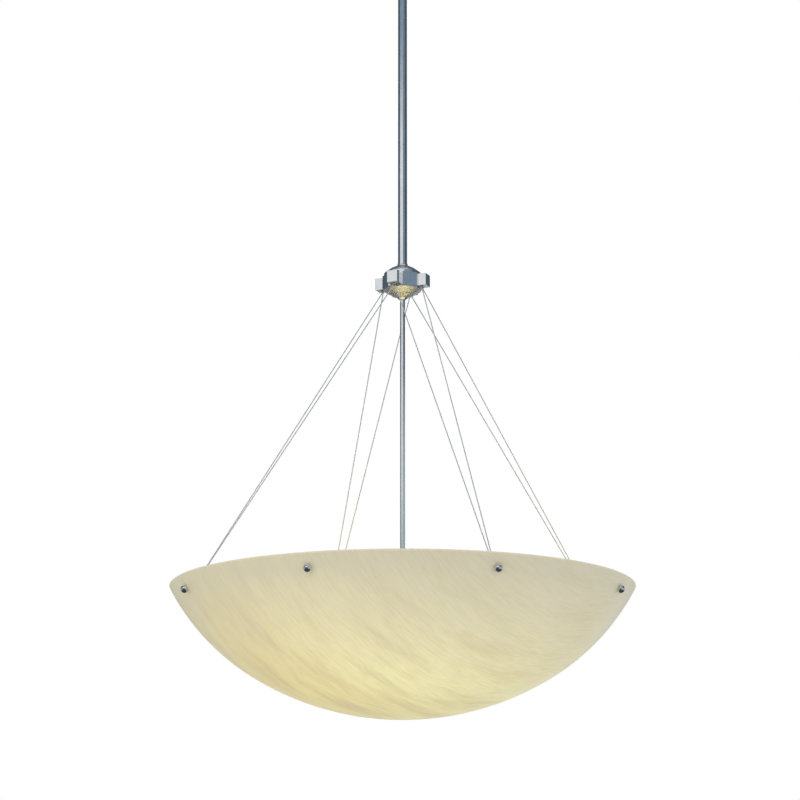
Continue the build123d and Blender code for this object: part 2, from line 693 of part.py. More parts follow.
def make_swivel():
    strap_z = -CROSSBAR_THICKNESS
    nut_bottom_z = strap_z - SWIVEL_LOCK_NUT_HEIGHT
    disc_top_z = nut_bottom_z - SWIVEL_AXIAL_PLAY
    disc_bottom_z = disc_top_z - YOKE_DISC
    flange_top_z = disc_bottom_z - SWIVEL_AXIAL_PLAY
    flange_bottom_z = flange_top_z - SWIVEL_FLANGE_THICKNESS
    yoke_bottom_z = pivot_z - YOKE_BELOW_PIVOT

    nipple = upright(SWIVEL_NIPPLE_RADIUS, flange_bottom_z, -SEAT_GAP)
    nipple += upright(SWIVEL_FLANGE_RADIUS, flange_bottom_z, flange_top_z)
    nipple -= upright(SWIVEL_NIPPLE_BORE, flange_bottom_z, 0)
    keep("swivel_nipple", nipple)

    nut = hex_nut(
        SWIVEL_LOCK_NUT_FLATS, SWIVEL_NIPPLE_RADIUS + RUNNING_FIT, SWIVEL_LOCK_NUT_HEIGHT
    )
    keep("swivel_lock_nut", Pos(0, 0, nut_bottom_z) * nut)

    yoke = upright(YOKE_RADIUS, yoke_bottom_z, disc_top_z)
    slot_height = disc_bottom_z - yoke_bottom_z
    slot = Box(YOKE_RADIUS * 2, YOKE_SLOT_WIDTH, slot_height, align=STANDING)
    yoke -= Pos(0, 0, yoke_bottom_z) * slot
    lug = Box(2 * YOKE_LUG_REACH, STOP_WIDTH, YOKE_DISC, align=STANDING)
    yoke += Pos(-YOKE_RADIUS, 0, disc_bottom_z) * lug
    yoke -= upright(SWIVEL_NIPPLE_RADIUS + RUNNING_FIT, disc_bottom_z, disc_top_z)
    trunnion_hole = Cylinder(TRUNNION_RADIUS + RUNNING_FIT, 2 * YOKE_RADIUS)
    yoke -= Pos(0, 0, pivot_z) * (Rot(90, 0, 0) * trunnion_hole)

    tongue_half = YOKE_SLOT_WIDTH / 2 - TONGUE_PLAY
    screws = []
    for side in (-1, 1):
        tip = Vector(0, side * (tongue_half - TRUNNION_DEPTH), pivot_z)
        shoulder = Vector(0, side * YOKE_RADIUS, pivot_z)
        crown = Vector(0, side * (YOKE_RADIUS + TRUNNION_HEAD_HEIGHT), pivot_z)
        screw = rod(TRUNNION_RADIUS, tip, shoulder) + rod(TRUNNION_HEAD_RADIUS, shoulder, crown)
        screws.append(screw)
    keep("swivel_yoke", yoke)
    keep("trunnion_screws", *screws)

    pin_bottom_z = disc_bottom_z + STOP_PIN_RISE
    keep("stop_pin", upright(STOP_WIDTH / 2, pin_bottom_z, -SEAT_GAP, stop_pin_x))


# ---------------------------------------------------------------- ceiling pieces


def make_crossbar():
    strap = Pos(0, 0, -CROSSBAR_THICKNESS) * extrude(
        SlotOverall(CROSSBAR_LENGTH, CROSSBAR_WIDTH), CROSSBAR_THICKNESS
    )
    for side in (-1, 1):
        slot = extrude(SlotOverall(SLOT_LENGTH, 2 * SLOT_HALF_WIDTH), CROSSBAR_THICKNESS)
        strap -= Pos(side * SLOT_SPACING / 2, 0, -CROSSBAR_THICKNESS) * slot
        strap -= upright(
            STUD_RADIUS + RUNNING_FIT, -CROSSBAR_THICKNESS, 0, side * STUD_SPACING / 2
        )
    strap -= upright(SWIVEL_NIPPLE_RADIUS + RUNNING_FIT, -CROSSBAR_THICKNESS, 0)
    strap -= upright(STOP_WIDTH / 2 + RUNNING_FIT, -CROSSBAR_THICKNESS, 0, stop_pin_x)
    strap -= upright(
        GROUND_SCREW_RADIUS + RUNNING_FIT, -CROSSBAR_THICKNESS, 0, GROUND_SCREW_X, GROUND_SCREW_Y
    )
    keep("crossbar", strap)

    head_top = -CROSSBAR_THICKNESS
    head_low = head_top - GROUND_SCREW_HEAD_HEIGHT
    ground = upright(GROUND_SCREW_RADIUS, head_top, -SEAT_GAP, GROUND_SCREW_X, GROUND_SCREW_Y)
    ground += upright(GROUND_SCREW_HEAD_RADIUS, head_low, head_top, GROUND_SCREW_X, GROUND_SCREW_Y)
    keep("ground_screw", ground)


def make_canopy():
    def dome(inset):
        radius = CANOPY_DIAMETER / 2 - inset
        depth = CANOPY_DEPTH - inset
        shoulder = CANOPY_SHOULDER - inset
        bottom = depth - CANOPY_SIDE - shoulder
        knee = (radius, -CANOPY_SIDE - bottom)
        foot = (radius - shoulder, -depth)
        bulge = (
            radius - shoulder * (1 - sqrt(0.5)),
            knee[1] - shoulder * sqrt(0.5),
        )
        return turned(
            outline(foot, (0, -depth), (0, 0), (radius, 0), knee),
            arc(knee, bulge, foot),
        )

    canopy = dome(0) - dome(CANOPY_WALL)
    canopy -= upright(CANOPY_MOUTH_RADIUS, -CANOPY_DEPTH, 0)
    studs = []
    nuts = []
    nut = ball_nut(
        CANOPY_NUT_RADIUS, CANOPY_NUT_SEAT_RADIUS, STUD_RADIUS + RUNNING_FIT, STUD_IN_NUT + 1
    )
    for side in (-1, 1):
        x = side * STUD_SPACING / 2
        canopy -= upright(STUD_RADIUS + RUNNING_FIT, -CANOPY_DEPTH, 0, x)
        studs.append(upright(STUD_RADIUS, -CANOPY_DEPTH - STUD_IN_NUT, -SEAT_GAP, x))
        nuts.append(Pos(x, 0, -CANOPY_DEPTH) * Rot(180, 0, 0) * nut)
    keep("canopy", canopy)
    keep("canopy_studs", *studs)
    keep("canopy_nuts", *nuts)


# ---------------------------------------------------------------- lamp cluster


def hexagon(flats, low, high):
    """Hexagonal prism with a flat side facing each lamp arm."""
    face = RegularPolygon(flats / 2, LAMP_COUNT, major_radius=False)
    turn = -90 + 180 / LAMP_COUNT
    return Rot(0, 0, turn) * Pos(0, 0, low) * extrude(face, high - low)


def make_cluster_pan():
    stem_bore = LOWER_STEM_RADIUS + RUNNING_FIT
    deck_z = pan_top_z - CLUSTER_WALL
    inner_flats = CLUSTER_FLATS - 2 * CLUSTER_WALL
    pan = hexagon(CLUSTER_FLATS, pan_bottom_z, pan_top_z)
    pan -= hexagon(inner_flats, pan_bottom_z, deck_z)
    pan -= upright(stem_bore, deck_z, pan_top_z)
    for azimuth in lamp_azimuths:
        inside = place(azimuth, inner_flats / 2 - ARM_INSIDE, arm_z)
        outside = place(azimuth, CLUSTER_FLATS / 2 + ARM_COLLAR_WIDTH, arm_z)
        pan -= rod(ARM_RADIUS + RUNNING_FIT, inside, outside)
    keep("cluster_pan", pan)

    cap = turned(
        outline(
            (stem_bore, pan_top_z),
            (CLUSTER_CAP_RADIUS, pan_top_z),
            (CLUSTER_CAP_RADIUS, pan_top_z + CLUSTER_CAP_EDGE),
            (stem_bore + CLUSTER_CAP_LIP, pan_top_z + CLUSTER_CAP_HEIGHT),
            (stem_bore, pan_top_z + CLUSTER_CAP_HEIGHT),
            (stem_bore, pan_top_z),
        )
    )
    keep("cluster_cap", cap)
    nut = hex_nut(CLUSTER_NUT_FLATS, stem_bore, CLUSTER_NUT_HEIGHT)
    keep("cluster_lock_nut", Pos(0, 0, deck_z - CLUSTER_NUT_HEIGHT) * nut)


def make_cluster_cover():
    cover_low_z = pan_bottom_z - COVER_THICKNESS
    stud_bore = COVER_STUD_RADIUS + RUNNING_FIT
    cover = hexagon(CLUSTER_FLATS + 2 * COVER_LIP, cover_low_z, pan_bottom_z)
    cover -= upright(stud_bore, cover_low_z, pan_bottom_z)
    keep("cluster_cover", cover)

    plug_bottom_z = lower_stem_bottom_z
    stud = upright(LOWER_STEM_BORE - RUNNING_FIT, plug_bottom_z, plug_bottom_z + COVER_STUD_PLUG)
    stud += upright(COVER_STUD_RADIUS, cover_low_z - FINIAL_HEIGHT / 2, plug_bottom_z)
    keep("cover_stud", stud)

    tip_z = cover_low_z - FINIAL_HEIGHT
    ball_z = tip_z + FINIAL_BALL_RADIUS
    neck_z = ball_z + sqrt(FINIAL_BALL_RADIUS**2 - FINIAL_NECK_RADIUS**2)
    neck = (FINIAL_NECK_RADIUS, neck_z)
    finial = turned(
        outline((0, tip_z), (0, cover_low_z), (FINIAL_RADIUS, cover_low_z), neck),
        arc(neck, (FINIAL_BALL_RADIUS, ball_z), (0, tip_z)),
    )
    finial -= upright(stud_bore, cover_low_z - FINIAL_HEIGHT / 2 - 1, cover_low_z)
    keep("finial_nut", finial)


def lamp_frame(azimuth):
    """Plane at the arm's end, facing along the lamp, x level."""
    slope = radians(LAMP_RISE)
    direction = outward(azimuth) * cos(slope) + Vector(0, 0, sin(slope))
    bend = place(azimuth, CLUSTER_FLATS / 2 + ARM_LEVEL_RUN, arm_z)
    end = bend + direction * ARM_RISING_RUN
    return Plane(origin=end, x_dir=sideways(azimuth), z_dir=direction)


def make_lamp_arms():
    side_r = CLUSTER_FLATS / 2
    arms = []
    nuts = []
    nut = hex_nut(ARM_NUT_FLATS, ARM_RADIUS + RUNNING_FIT, ARM_NUT_HEIGHT)
    for azimuth in lamp_azimuths:
        start = place(azimuth, side_r - CLUSTER_WALL - ARM_INSIDE, arm_z)
        bend = place(azimuth, side_r + ARM_LEVEL_RUN, arm_z)
        end = lamp_frame(azimuth).origin
        path = FilletPolyline(start, bend, end, radius=ARM_BEND_RADIUS)
        section = Plane(origin=start, z_dir=outward(azimuth))
        collar = rod(
            ARM_COLLAR_RADIUS,
            place(azimuth, side_r, arm_z),
            place(azimuth, side_r + ARM_COLLAR_WIDTH, arm_z),
        )
        arm = sweep(section * Circle(ARM_RADIUS), path) + collar
        arm -= sweep(section * Circle(ARM_BORE), path)
        arms.append(arm)
        seat = side_r - CLUSTER_WALL - ARM_NUT_HEIGHT
        nuts.append(Plane(origin=place(azimuth, seat, arm_z), z_dir=outward(azimuth)) * nut)
    keep("lamp_arms", *arms)
    keep("lamp_arm_nuts", *nuts)


def make_sockets_and_lamps():
    floor = SOCKET_LENGTH - SOCKET_CAVITY_DEPTH
    socket = turned(
        outline(
            (0, 0),
            (SOCKET_NECK_RADIUS, 0),
            (SOCKET_NECK_RADIUS, SOCKET_NECK_LENGTH),
            (SOCKET_RADIUS, SOCKET_NECK_LENGTH + SOCKET_SHOULDER),
            (SOCKET_RADIUS, SOCKET_LENGTH),
            (SOCKET_CAVITY_RADIUS, SOCKET_LENGTH),
            (SOCKET_CAVITY_RADIUS, floor),
            (0, floor),
            (0, 0),
        )
    )
    socket -= upright(ARM_RADIUS + RUNNING_FIT, 0, SOCKET_GRIP)

    ball_z = LAMP_LENGTH - LAMP_RADIUS
    join_angle = radians(LAMP_NECK_JOIN)
    side_angle = radians(90 - LAMP_NECK_JOIN) / 2
    join = (LAMP_RADIUS * cos(join_angle), ball_z - LAMP_RADIUS * sin(join_angle))
    side = (LAMP_RADIUS * cos(side_angle), ball_z + LAMP_RADIUS * sin(side_angle))
    throat = (LAMP_NECK_RADIUS, LAMP_BASE_LENGTH + LAMP_NECK_RISE)
    flank_r = (throat[0] + join[0]) / 2 - LAMP_NECK_SWELL
    flank_z = (throat[1] + join[1]) / 2 + LAMP_NECK_SWELL
    lamp = turned(
        outline(
            (0, LAMP_LENGTH),
            (0, 0),
            (LAMP_TIP_RADIUS, 0),
            (LAMP_BASE_RADIUS, LAMP_TIP_HEIGHT),
            (LAMP_BASE_RADIUS, LAMP_BASE_LENGTH),
            throat,
        ),
        arc(throat, (flank_r, flank_z), join),
        arc(join, side, (0, LAMP_LENGTH)),
    )
    sockets = []
    for number, azimuth in enumerate(lamp_azimuths, start=1):
        frame = lamp_frame(azimuth)
        sockets.append(frame * Pos(0, 0, -SOCKET_GRIP) * socket)
        seat = floor + LAMP_TIP_GAP - SOCKET_GRIP
        keep(f"lamp_{number}", frame * Pos(0, 0, seat) * lamp)
    keep("lamp_sockets", *sockets)


# ---------------------------------------------------------------- all pieces

make_crossbar()
make_swivel()
make_canopy()
make_stem_head()
make_stems()
make_hub_top()
make_hub_body()
make_hub_base()
make_hub_nipple()
make_cable_blocks()
make_cables()
make_rim_ring()
make_rim_screws()
make_cable_lugs()
make_bowl()
make_cluster_pan()
make_cluster_cover()
make_lamp_arms()
make_sockets_and_lamps()

os.makedirs("parts", exist_ok=True)
for name, solids in parts.items():
    shape = solids[0] if len(solids) == 1 else Compound(solids)
    export_step(shape, f"parts/{name}.step")

bowl_bottom_z = crown_centre_z - BOWL_CROWN_RADIUS
print("nodes", len(parts), "rim at", round(rim_z, 1), "bowl bottom at", round(bowl_bottom_z, 1))
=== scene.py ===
# %% [markdown]
# # Alabaster bowl pendant
# A wide bowl of cast acrylic with the soft veins of alabaster hangs on eight wire ropes. The ropes leave
# four blocks on an octagonal nickel-plated hub, and a long tube carries the hub from a canopy at the
# ceiling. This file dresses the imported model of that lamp: it adds finishes, and finer meshes where the
# packed ones are too plain. All lengths are in metres, Z is up, and the ceiling is at Z = 0.

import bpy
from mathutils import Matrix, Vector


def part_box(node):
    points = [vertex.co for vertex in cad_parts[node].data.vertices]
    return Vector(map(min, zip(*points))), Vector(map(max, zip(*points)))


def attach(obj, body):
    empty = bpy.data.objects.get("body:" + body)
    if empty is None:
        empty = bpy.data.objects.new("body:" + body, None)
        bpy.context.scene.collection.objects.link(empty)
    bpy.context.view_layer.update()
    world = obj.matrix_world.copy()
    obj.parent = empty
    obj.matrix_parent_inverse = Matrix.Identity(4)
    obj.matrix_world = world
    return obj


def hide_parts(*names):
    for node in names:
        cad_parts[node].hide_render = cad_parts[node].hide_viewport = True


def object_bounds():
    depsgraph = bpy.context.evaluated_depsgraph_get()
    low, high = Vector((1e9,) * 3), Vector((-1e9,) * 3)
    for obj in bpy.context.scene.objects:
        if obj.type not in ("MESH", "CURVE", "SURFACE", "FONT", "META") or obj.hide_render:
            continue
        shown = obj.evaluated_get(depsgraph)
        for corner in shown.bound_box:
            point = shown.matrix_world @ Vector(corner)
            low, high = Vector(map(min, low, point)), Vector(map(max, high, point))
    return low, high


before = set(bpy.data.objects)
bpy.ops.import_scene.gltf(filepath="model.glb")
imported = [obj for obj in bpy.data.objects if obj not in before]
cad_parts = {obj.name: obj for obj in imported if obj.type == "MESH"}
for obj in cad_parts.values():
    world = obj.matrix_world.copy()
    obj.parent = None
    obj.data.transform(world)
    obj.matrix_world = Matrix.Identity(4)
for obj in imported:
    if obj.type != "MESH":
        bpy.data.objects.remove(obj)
cad_low, cad_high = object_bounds()
print("packed model from", [round(x, 4) for x in cad_low], "to", [round(x, 4) for x in cad_high])

# %% Libraries and units
from math import acos, atan2, ceil, cos, pi, radians, sin, sqrt, tan

import bmesh
import bpy
from mathutils import Matrix, Vector

MM = 0.001
scene = bpy.context.scene

# %% [markdown]
# ## Camera
# The photograph was taken with a long lens from a little below the bowl, looking slightly up. The values
# come from a camera fitted to the rim, the hub and the stem, with the 48 in bowl as the unit.

# %% Camera
CAMERA_LENS_MM = 103.03
CAMERA_PLACE = (-0.0070, -6.0076, -2.7142)
CAMERA_TILT_UP = radians(13.625)

camera_data = bpy.data.cameras.new("photo_camera")
camera_data.lens = CAMERA_LENS_MM
camera_data.sensor_width = 36
camera = bpy.data.objects.new("photo_camera", camera_data)
camera.location = CAMERA_PLACE
camera.rotation_euler = (pi / 2 + CAMERA_TILT_UP, 0, 0)
scene.collection.objects.link(camera)
scene.camera = camera
scene.view_settings.view_transform = "Standard"
print("camera at", CAMERA_PLACE, "with a lens of", CAMERA_LENS_MM, "mm")

# %% [markdown]
# ## Nodes and colours
# Materials and Geometry Nodes trees are both made of nodes, so one small function adds a node of either
# kind, sets its properties and fills its sockets. Colours are written as sRGB hex values, as a paint card
# gives them, and one function turns them to the linear values that Blender works with.

# %% Node and colour helpers
def linear(hex_colour):
    """An sRGB hex value as linear RGBA."""
    channels = [int(hex_colour[i : i + 2], 16) / 255 for i in (1, 3, 5)]
    return [c / 12.92 if c <= 0.04045 else ((c + 0.055) / 1.055) ** 2.4 for c in channels] + [1.0]


def add(tree, kind, sockets=None, stops=None, **settings):
    """Adds a node: settings are properties, sockets are values, or what feeds them. A node that feeds
    a socket does so from its first output."""
    node = tree.nodes.new(kind)
    for name, value in settings.items():
        setattr(node, name, value)
    for name, value in (sockets or {}).items():
        if isinstance(value, bpy.types.Node):
            value = value.outputs[0]
        if isinstance(value, bpy.types.NodeSocket):
            tree.links.new(value, node.inputs[name])
        else:
            node.inputs[name].default_value = value
    if stops:
        while len(node.color_ramp.elements) < len(stops):
            node.color_ramp.elements.new(0.5)
        for element, (position, hex_colour) in zip(node.color_ramp.elements, stops):
            element.position = position
            element.color = linear(hex_colour)
    return node


def new_material(name):
    """A material and its empty node tree."""
    material = bpy.data.materials.new(name)
    material.use_nodes = True
    material.node_tree.nodes.clear()
    return material, material.node_tree


def shade(tree, sockets):
    """Ends a material's tree with a Principled shader that has these sockets."""
    add(tree, "ShaderNodeOutputMaterial", {"Surface": add(tree, "ShaderNodeBsdfPrincipled", sockets)})


# %% [markdown]
# ## Stage
# The lamp hangs in a plain white studio with a floor well below it, and one wide soft light from the upper
# left shapes the forms. Polished metal shows only what is round it, so large cards stand outside the
# picture: they give the tubes their dark edges and blue-grey sides, and the balls at the rim their dark
# lower half. The cards are lit evenly, and only reflections see them.

# %% Stage
FLOOR_Z = -4.0
FLOOR_SIZE = 60.0
WORLD_LIGHT = 0.98
KEY_PLACE = Vector((-3.4, -5.0, 0.6))
KEY_SIZE = 2.6
KEY_WATTS = 28
CARD_DISTANCE = 4.0
CARD_STEPS = 8
LOW_CARD_WIDTH = 12.0
LOW_CARD_REACH = (-5.0, 6.0)
LOW_CARD_Z = -3.6


def stage_piece(name, low_row, high_row, hex_colour, lit=False):
    """A stage surface between two rows of points. A lit one shows its colour in any light."""
    steps = len(low_row) - 1
    faces = [(k, k + 1, steps + 2 + k, steps + 1 + k) for k in range(steps)]
    mesh = bpy.data.meshes.new(name)
    mesh.from_pydata([*low_row, *high_row], [], faces)
    piece = bpy.data.objects.new(name, mesh)
    scene.collection.objects.link(piece)
    material, tree = new_material(name + "_paint")
    shade(tree, {"Roughness": 0.9, "Base Color": linear("#000000" if lit else hex_colour),
                 "Emission Color": linear(hex_colour), "Emission Strength": 1.0 if lit else 0.0})
    mesh.materials.append(material)
    return piece


def level_row(width, y, z):
    return [(-width / 2, y, z), (width / 2, y, z)]


def arc_row(azimuths, height):
    """Points round the lamp, from the first azimuth to the second, in degrees."""
    first, last = map(radians, azimuths)
    angles = [first + (last - first) * k / CARD_STEPS for k in range(CARD_STEPS + 1)]
    return [(CARD_DISTANCE * sin(a), -CARD_DISTANCE * cos(a), height) for a in angles]


# %% Floor and cards
front, back = (level_row(FLOOR_SIZE, y, FLOOR_Z) for y in (-FLOOR_SIZE / 2, FLOOR_SIZE / 2))
stage_piece("floor", front, back, "#F2F2F0")

# Each card: its name, its azimuths in degrees, its heights in metres and its colour.
CARDS = [
    ("blue_card", (10, 58), (-0.3, 5.0), "#8094A4"),
    ("dark_card", (58, 180), (-0.3, 5.0), "#4F5C66"),
    ("grey_card", (-180, -64), (-0.3, 5.0), "#56636F"),
    ("brow_card", (-64, 10), (1.15, 5.0), "#8096A8"),
    ("pale_right_card", (14, 180), (-2.4, -0.3), "#B4C0C6"),
    ("pale_left_card", (-180, -64), (-2.4, -0.3), "#8F999F"),
    ("front_card", (-64, 14), (-3.6, -1.0), "#4C5358"),
]
cards = [stage_piece(name, arc_row(azimuths, low), arc_row(azimuths, high), colour, lit=True)
         for name, azimuths, (low, high), colour in CARDS]
front, back = (level_row(LOW_CARD_WIDTH, y, LOW_CARD_Z) for y in LOW_CARD_REACH)
cards.append(stage_piece("low_card", front, back, "#3E4449", lit=True))
for card in cards:
    card.visible_camera = card.visible_diffuse = card.visible_shadow = card.visible_transmission = False

print("stage with", len(cards), "cards")

# %% White world and key light
world = bpy.data.worlds.new("white_studio")
world.use_nodes = True
scene.world = world
tree = world.node_tree
tree.nodes.clear()
rays = add(tree, "ShaderNodeLightPath")
seen = add(tree, "ShaderNodeMath", {0: rays.outputs["Is Camera Ray"], 1: rays.outputs["Is Glossy Ray"]},
           operation="MAXIMUM")
seen = add(tree, "ShaderNodeMath", {0: seen, 1: rays.outputs["Is Transmission Ray"]}, operation="MAXIMUM")
strength = add(tree, "ShaderNodeMix", {0: seen, 2: WORLD_LIGHT, 3: 1.0})
background = add(tree, "ShaderNodeBackground", {"Color": linear("#FFFFFF"), "Strength": strength})
add(tree, "ShaderNodeOutputWorld", {"Surface": background})

key = bpy.data.lights.new("key_light", "AREA")
key.shape = "DISK"
key.size = KEY_SIZE
key.energy = KEY_WATTS
key_light = bpy.data.objects.new("key_light", key)
key_light.location = KEY_PLACE
key_light.rotation_euler = ((cad_low + cad_high) / 2 - KEY_PLACE).to_track_quat("-Z", "Y").to_euler()
key_light.visible_glossy = False
scene.collection.objects.link(key_light)
print("key light of", KEY_WATTS, "W")

# %% [markdown]
# ## Bowl measures
# The wall follows two arcs, a flat crown and a tighter shoulder, which meet at the same slope. Every
# fitting at the rim takes its place from these arcs.

# %% Bowl measures
BOWL_RADIUS = 615.0 * MM
BOWL_WALL = 6.0 * MM
BOWL_CROWN_RADIUS = 761.3 * MM
BOWL_CROWN_ANGLE = radians(32.1)
BOWL_EDGE_ANGLE = radians(61.7)
STATION_DROP = 32.7 * MM
STATION_COUNT = 8
FIRST_STATION = radians(22.5)

rim_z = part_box("bowl")[1].z
shoulder_radius = (BOWL_RADIUS - BOWL_CROWN_RADIUS * sin(BOWL_CROWN_ANGLE)) / (
    sin(BOWL_EDGE_ANGLE) - sin(BOWL_CROWN_ANGLE)
)
shoulder_r = BOWL_RADIUS - shoulder_radius * sin(BOWL_EDGE_ANGLE)
shoulder_z = rim_z + shoulder_radius * cos(BOWL_EDGE_ANGLE)
crown_z = shoulder_z + (BOWL_CROWN_RADIUS - shoulder_radius) * cos(BOWL_CROWN_ANGLE)
station_angle = acos((shoulder_z - rim_z + STATION_DROP) / shoulder_radius)
print("bowl", round(2 * BOWL_RADIUS, 4), "m wide, bottom at", round(crown_z - BOWL_CROWN_RADIUS, 4))

# %% [markdown]
# ## Places round the axis
# Nearly every piece repeats round the middle line. An azimuth counts from the front (-Y) towards +X, so a
# piece is made once at the front and turned to its place.

# %% Places round the axis
def outward(azimuth):
    return Vector((sin(azimuth), -cos(azimuth), 0))


def sideways(azimuth):
    return Vector((cos(azimuth), sin(azimuth), 0))


def spot(azimuth, radius, height, side=0.0):
    return outward(azimuth) * radius + sideways(azimuth) * side + Vector((0, 0, height))


def facing(origin, direction, level):
    """A placement whose Z runs along direction and whose X is the level one."""
    across = direction.cross(level)
    turn = Matrix((level, across, direction)).transposed().to_4x4()
    return Matrix.Translation(origin) @ turn


def in_mm(*points):
    """Section points given in millimetres."""
    return [(r * MM, z * MM) for r, z in points]


def raised(section, height):
    return [(r, z + height) for r, z in section]


def bowl_point(angle, inset=0.0):
    """Section point where the bowl's outer face has this slope, moved into the wall by inset."""
    if angle <= BOWL_CROWN_ANGLE:
        reach = BOWL_CROWN_RADIUS - inset
        return reach * sin(angle), crown_z - reach * cos(angle)
    reach = shoulder_radius - inset
    return shoulder_r + reach * sin(angle), shoulder_z - reach * cos(angle)


# %% [markdown]
# ## Grown pieces
# A Geometry Nodes tree needs an object to work on. `grow` puts the tree on a new object, sets its inputs by
# their identifiers and keeps the result as a plain mesh.

# %% Grown pieces
def new_tree(name, **inputs):
    """A Geometry Nodes tree: a mesh, a material and inputs listed by their kind go in, a mesh comes out."""
    tree = bpy.data.node_groups.new(name, "GeometryNodeTree")
    for kind, labels in {"Geometry": ["Geometry"], "Material": ["Material"], **inputs}.items():
        for label in labels:
            tree.interface.new_socket(label, in_out="INPUT", socket_type="NodeSocket" + kind)
    tree.interface.new_socket("Geometry", in_out="OUTPUT", socket_type="NodeSocketGeometry")
    return tree, add(tree, "NodeGroupInput").outputs


def end_tree(tree, geometry, given):
    """Gives a tree's result its material and sends it out."""
    painted = add(tree, "GeometryNodeSetMaterial", {"Geometry": geometry, "Material": given["Material"]})
    add(tree, "NodeGroupOutput", {0: painted})
    return tree


def linked(name, mesh, material=None):
    """A new object in the scene that holds a mesh."""
    piece = bpy.data.objects.new(name, mesh)
    scene.collection.objects.link(piece)
    if material:
        mesh.materials.clear()
        mesh.materials.append(material)
    return piece


def plain(piece):
    """Turns a piece's modifiers into its mesh."""
    bpy.context.view_layer.update()
    depsgraph = bpy.context.evaluated_depsgraph_get()
    mesh = bpy.data.meshes.new_from_object(piece.evaluated_get(depsgraph), depsgraph=depsgraph)
    piece.modifiers.clear()
    piece.data = mesh
    return piece


def grow(name, tree, start=None, **values):
    """A piece made by a Geometry Nodes tree, from a start mesh and its named inputs."""
    piece = linked(name, start or bpy.data.meshes.new(name))
    modifier = piece.modifiers.new("grow", "NODES")
    modifier.node_group = tree
    for item in tree.interface.items_tree:
        if item.in_out == "INPUT" and item.name in values:
            modifier[item.identifier] = values[item.name]
    return plain(piece)


# %% [markdown]
# ## Turned pieces
# `turned` spins a section of (radius, height) points round an axis, as a lathe does. `rounded` first eases
# the section's sharp corners, because a real part has no knife edges and the small rounds catch the light.

# %% Turned pieces
def rounded(points, radius, steps=3):
    """A section with its corners eased. It is closed if its last point is its first."""
    closed = points[0] == points[-1]
    corners = points[:-1] if closed else points
    result = []
    for i, (r, z) in enumerate(corners):
        at_end = not closed and i in (0, len(corners) - 1)
        before = Vector(corners[i - 1])
        here = Vector((r, z))
        after = Vector(corners[(i + 1) % len(corners)])
        if at_end or r == 0 or (before - here).angle(after - here, 0) > radians(160):
            result.append((r, z))
            continue
        reach = min(radius, (before - here).length * 0.4, (after - here).length * 0.4)
        start = here + (before - here).normalized() * reach
        end = here + (after - here).normalized() * reach
        for k in range(steps + 1):
            t = k / steps
            point = start * (1 - t) ** 2 + here * 2 * t * (1 - t) + end * t**2
            result.append(tuple(point))
    return result + result[:1] if closed else result


def arc(radius, middle, start, end, steps, offset=0.0):
    """Section points on a round edge: middle is its centre's height, offset its centre's radius."""
    angles = [start + (end - start) * k / steps for k in range(steps + 1)]
    reaches = [radius * cos(angle) for angle in angles]
    return [(offset + (0 if abs(reach) < 1e-9 else reach), middle + radius * sin(angle))
            for reach, angle in zip(reaches, angles)]


def thread_rows(radius, low, high, pitch, rows=6):
    """Section points up a threaded length."""
    count = ceil((high - low) / pitch * rows)
    return [(radius, low + (high - low) * k / count) for k in range(count + 1)]


def turned(name, section, material, segments=96, place=Matrix.Identity(4), thread=None):
    """Spins a section round Z.
    thread is (radius, low, high, pitch, depth): points on that radius are cut by the screw thread."""
    closed = section[0] == section[-1]
    points = section[:-1] if closed else section
    bm = bmesh.new()
    rings = []
    for r, z in points:
        if r < 1e-7:
            rings.append([bm.verts.new((0, 0, z))])
            continue
        ring = []
        for k in range(segments):
            angle = 2 * pi * k / segments
            reach = r
            if thread and abs(r - thread[0]) < 1e-6 and thread[1] < z < thread[2]:
                run_in = min(1, (z - thread[1]) / thread[3], (thread[2] - z) / thread[3])
                reach -= thread[4] * run_in * (0.5 - 0.5 * cos(2 * pi * z / thread[3] - angle))
            ring.append(bm.verts.new((reach * cos(angle), reach * sin(angle), z)))
        rings.append(ring)
    for low, high in zip(rings, rings[1:] + rings[:1] if closed else rings[1:]):
        for k in range(segments):
            corners = [low[k % len(low)], low[(k + 1) % len(low)]]
            corners += [high[(k + 1) % len(high)], high[k % len(high)]]
            unique = list(dict.fromkeys(corners))
            if len(unique) > 2:
                bm.faces.new(unique)
    bmesh.ops.recalc_face_normals(bm, faces=bm.faces)
    bmesh.ops.transform(bm, matrix=place, verts=bm.verts)
    mesh = bpy.data.meshes.new(name)
    bm.to_mesh(mesh)
    bm.free()
    mesh.shade_smooth()
    return weighted(linked(name, mesh, material))


def weighted(piece):
    """Lets the large faces decide the shading, so that flats stay flat beside eased edges."""
    modifier = piece.modifiers.new("flat faces", "WEIGHTED_NORMAL")
    modifier.mode = "FACE_AREA"
    modifier.weight = 100
    return plain(piece)


# %% [markdown]
# ## Curves and shells
# A rope or a bent tube starts as a curve through its corner points. The shell swept along it is closed, so
# its faces can be turned outwards.

# %% Curves and shells
def curve_mesh(name, kind, places, **settings):
    """The mesh of a curve through points, or along their NURBS line."""
    curve = bpy.data.curves.new(name, "CURVE")
    curve.dimensions = "3D"
    for setting, value in settings.items():
        setattr(curve, setting, value)
    spline = curve.splines.new(kind)
    spline.points.add(len(places) - 1)
    for point, place in zip(spline.points, places):
        point.co = (*place, 1)
    if kind == "NURBS":
        spline.order_u = 3
        spline.use_endpoint_u = True
    carrier = bpy.data.objects.new(name, curve)
    mesh = bpy.data.meshes.new_from_object(carrier)
    bpy.data.objects.remove(carrier)
    return mesh


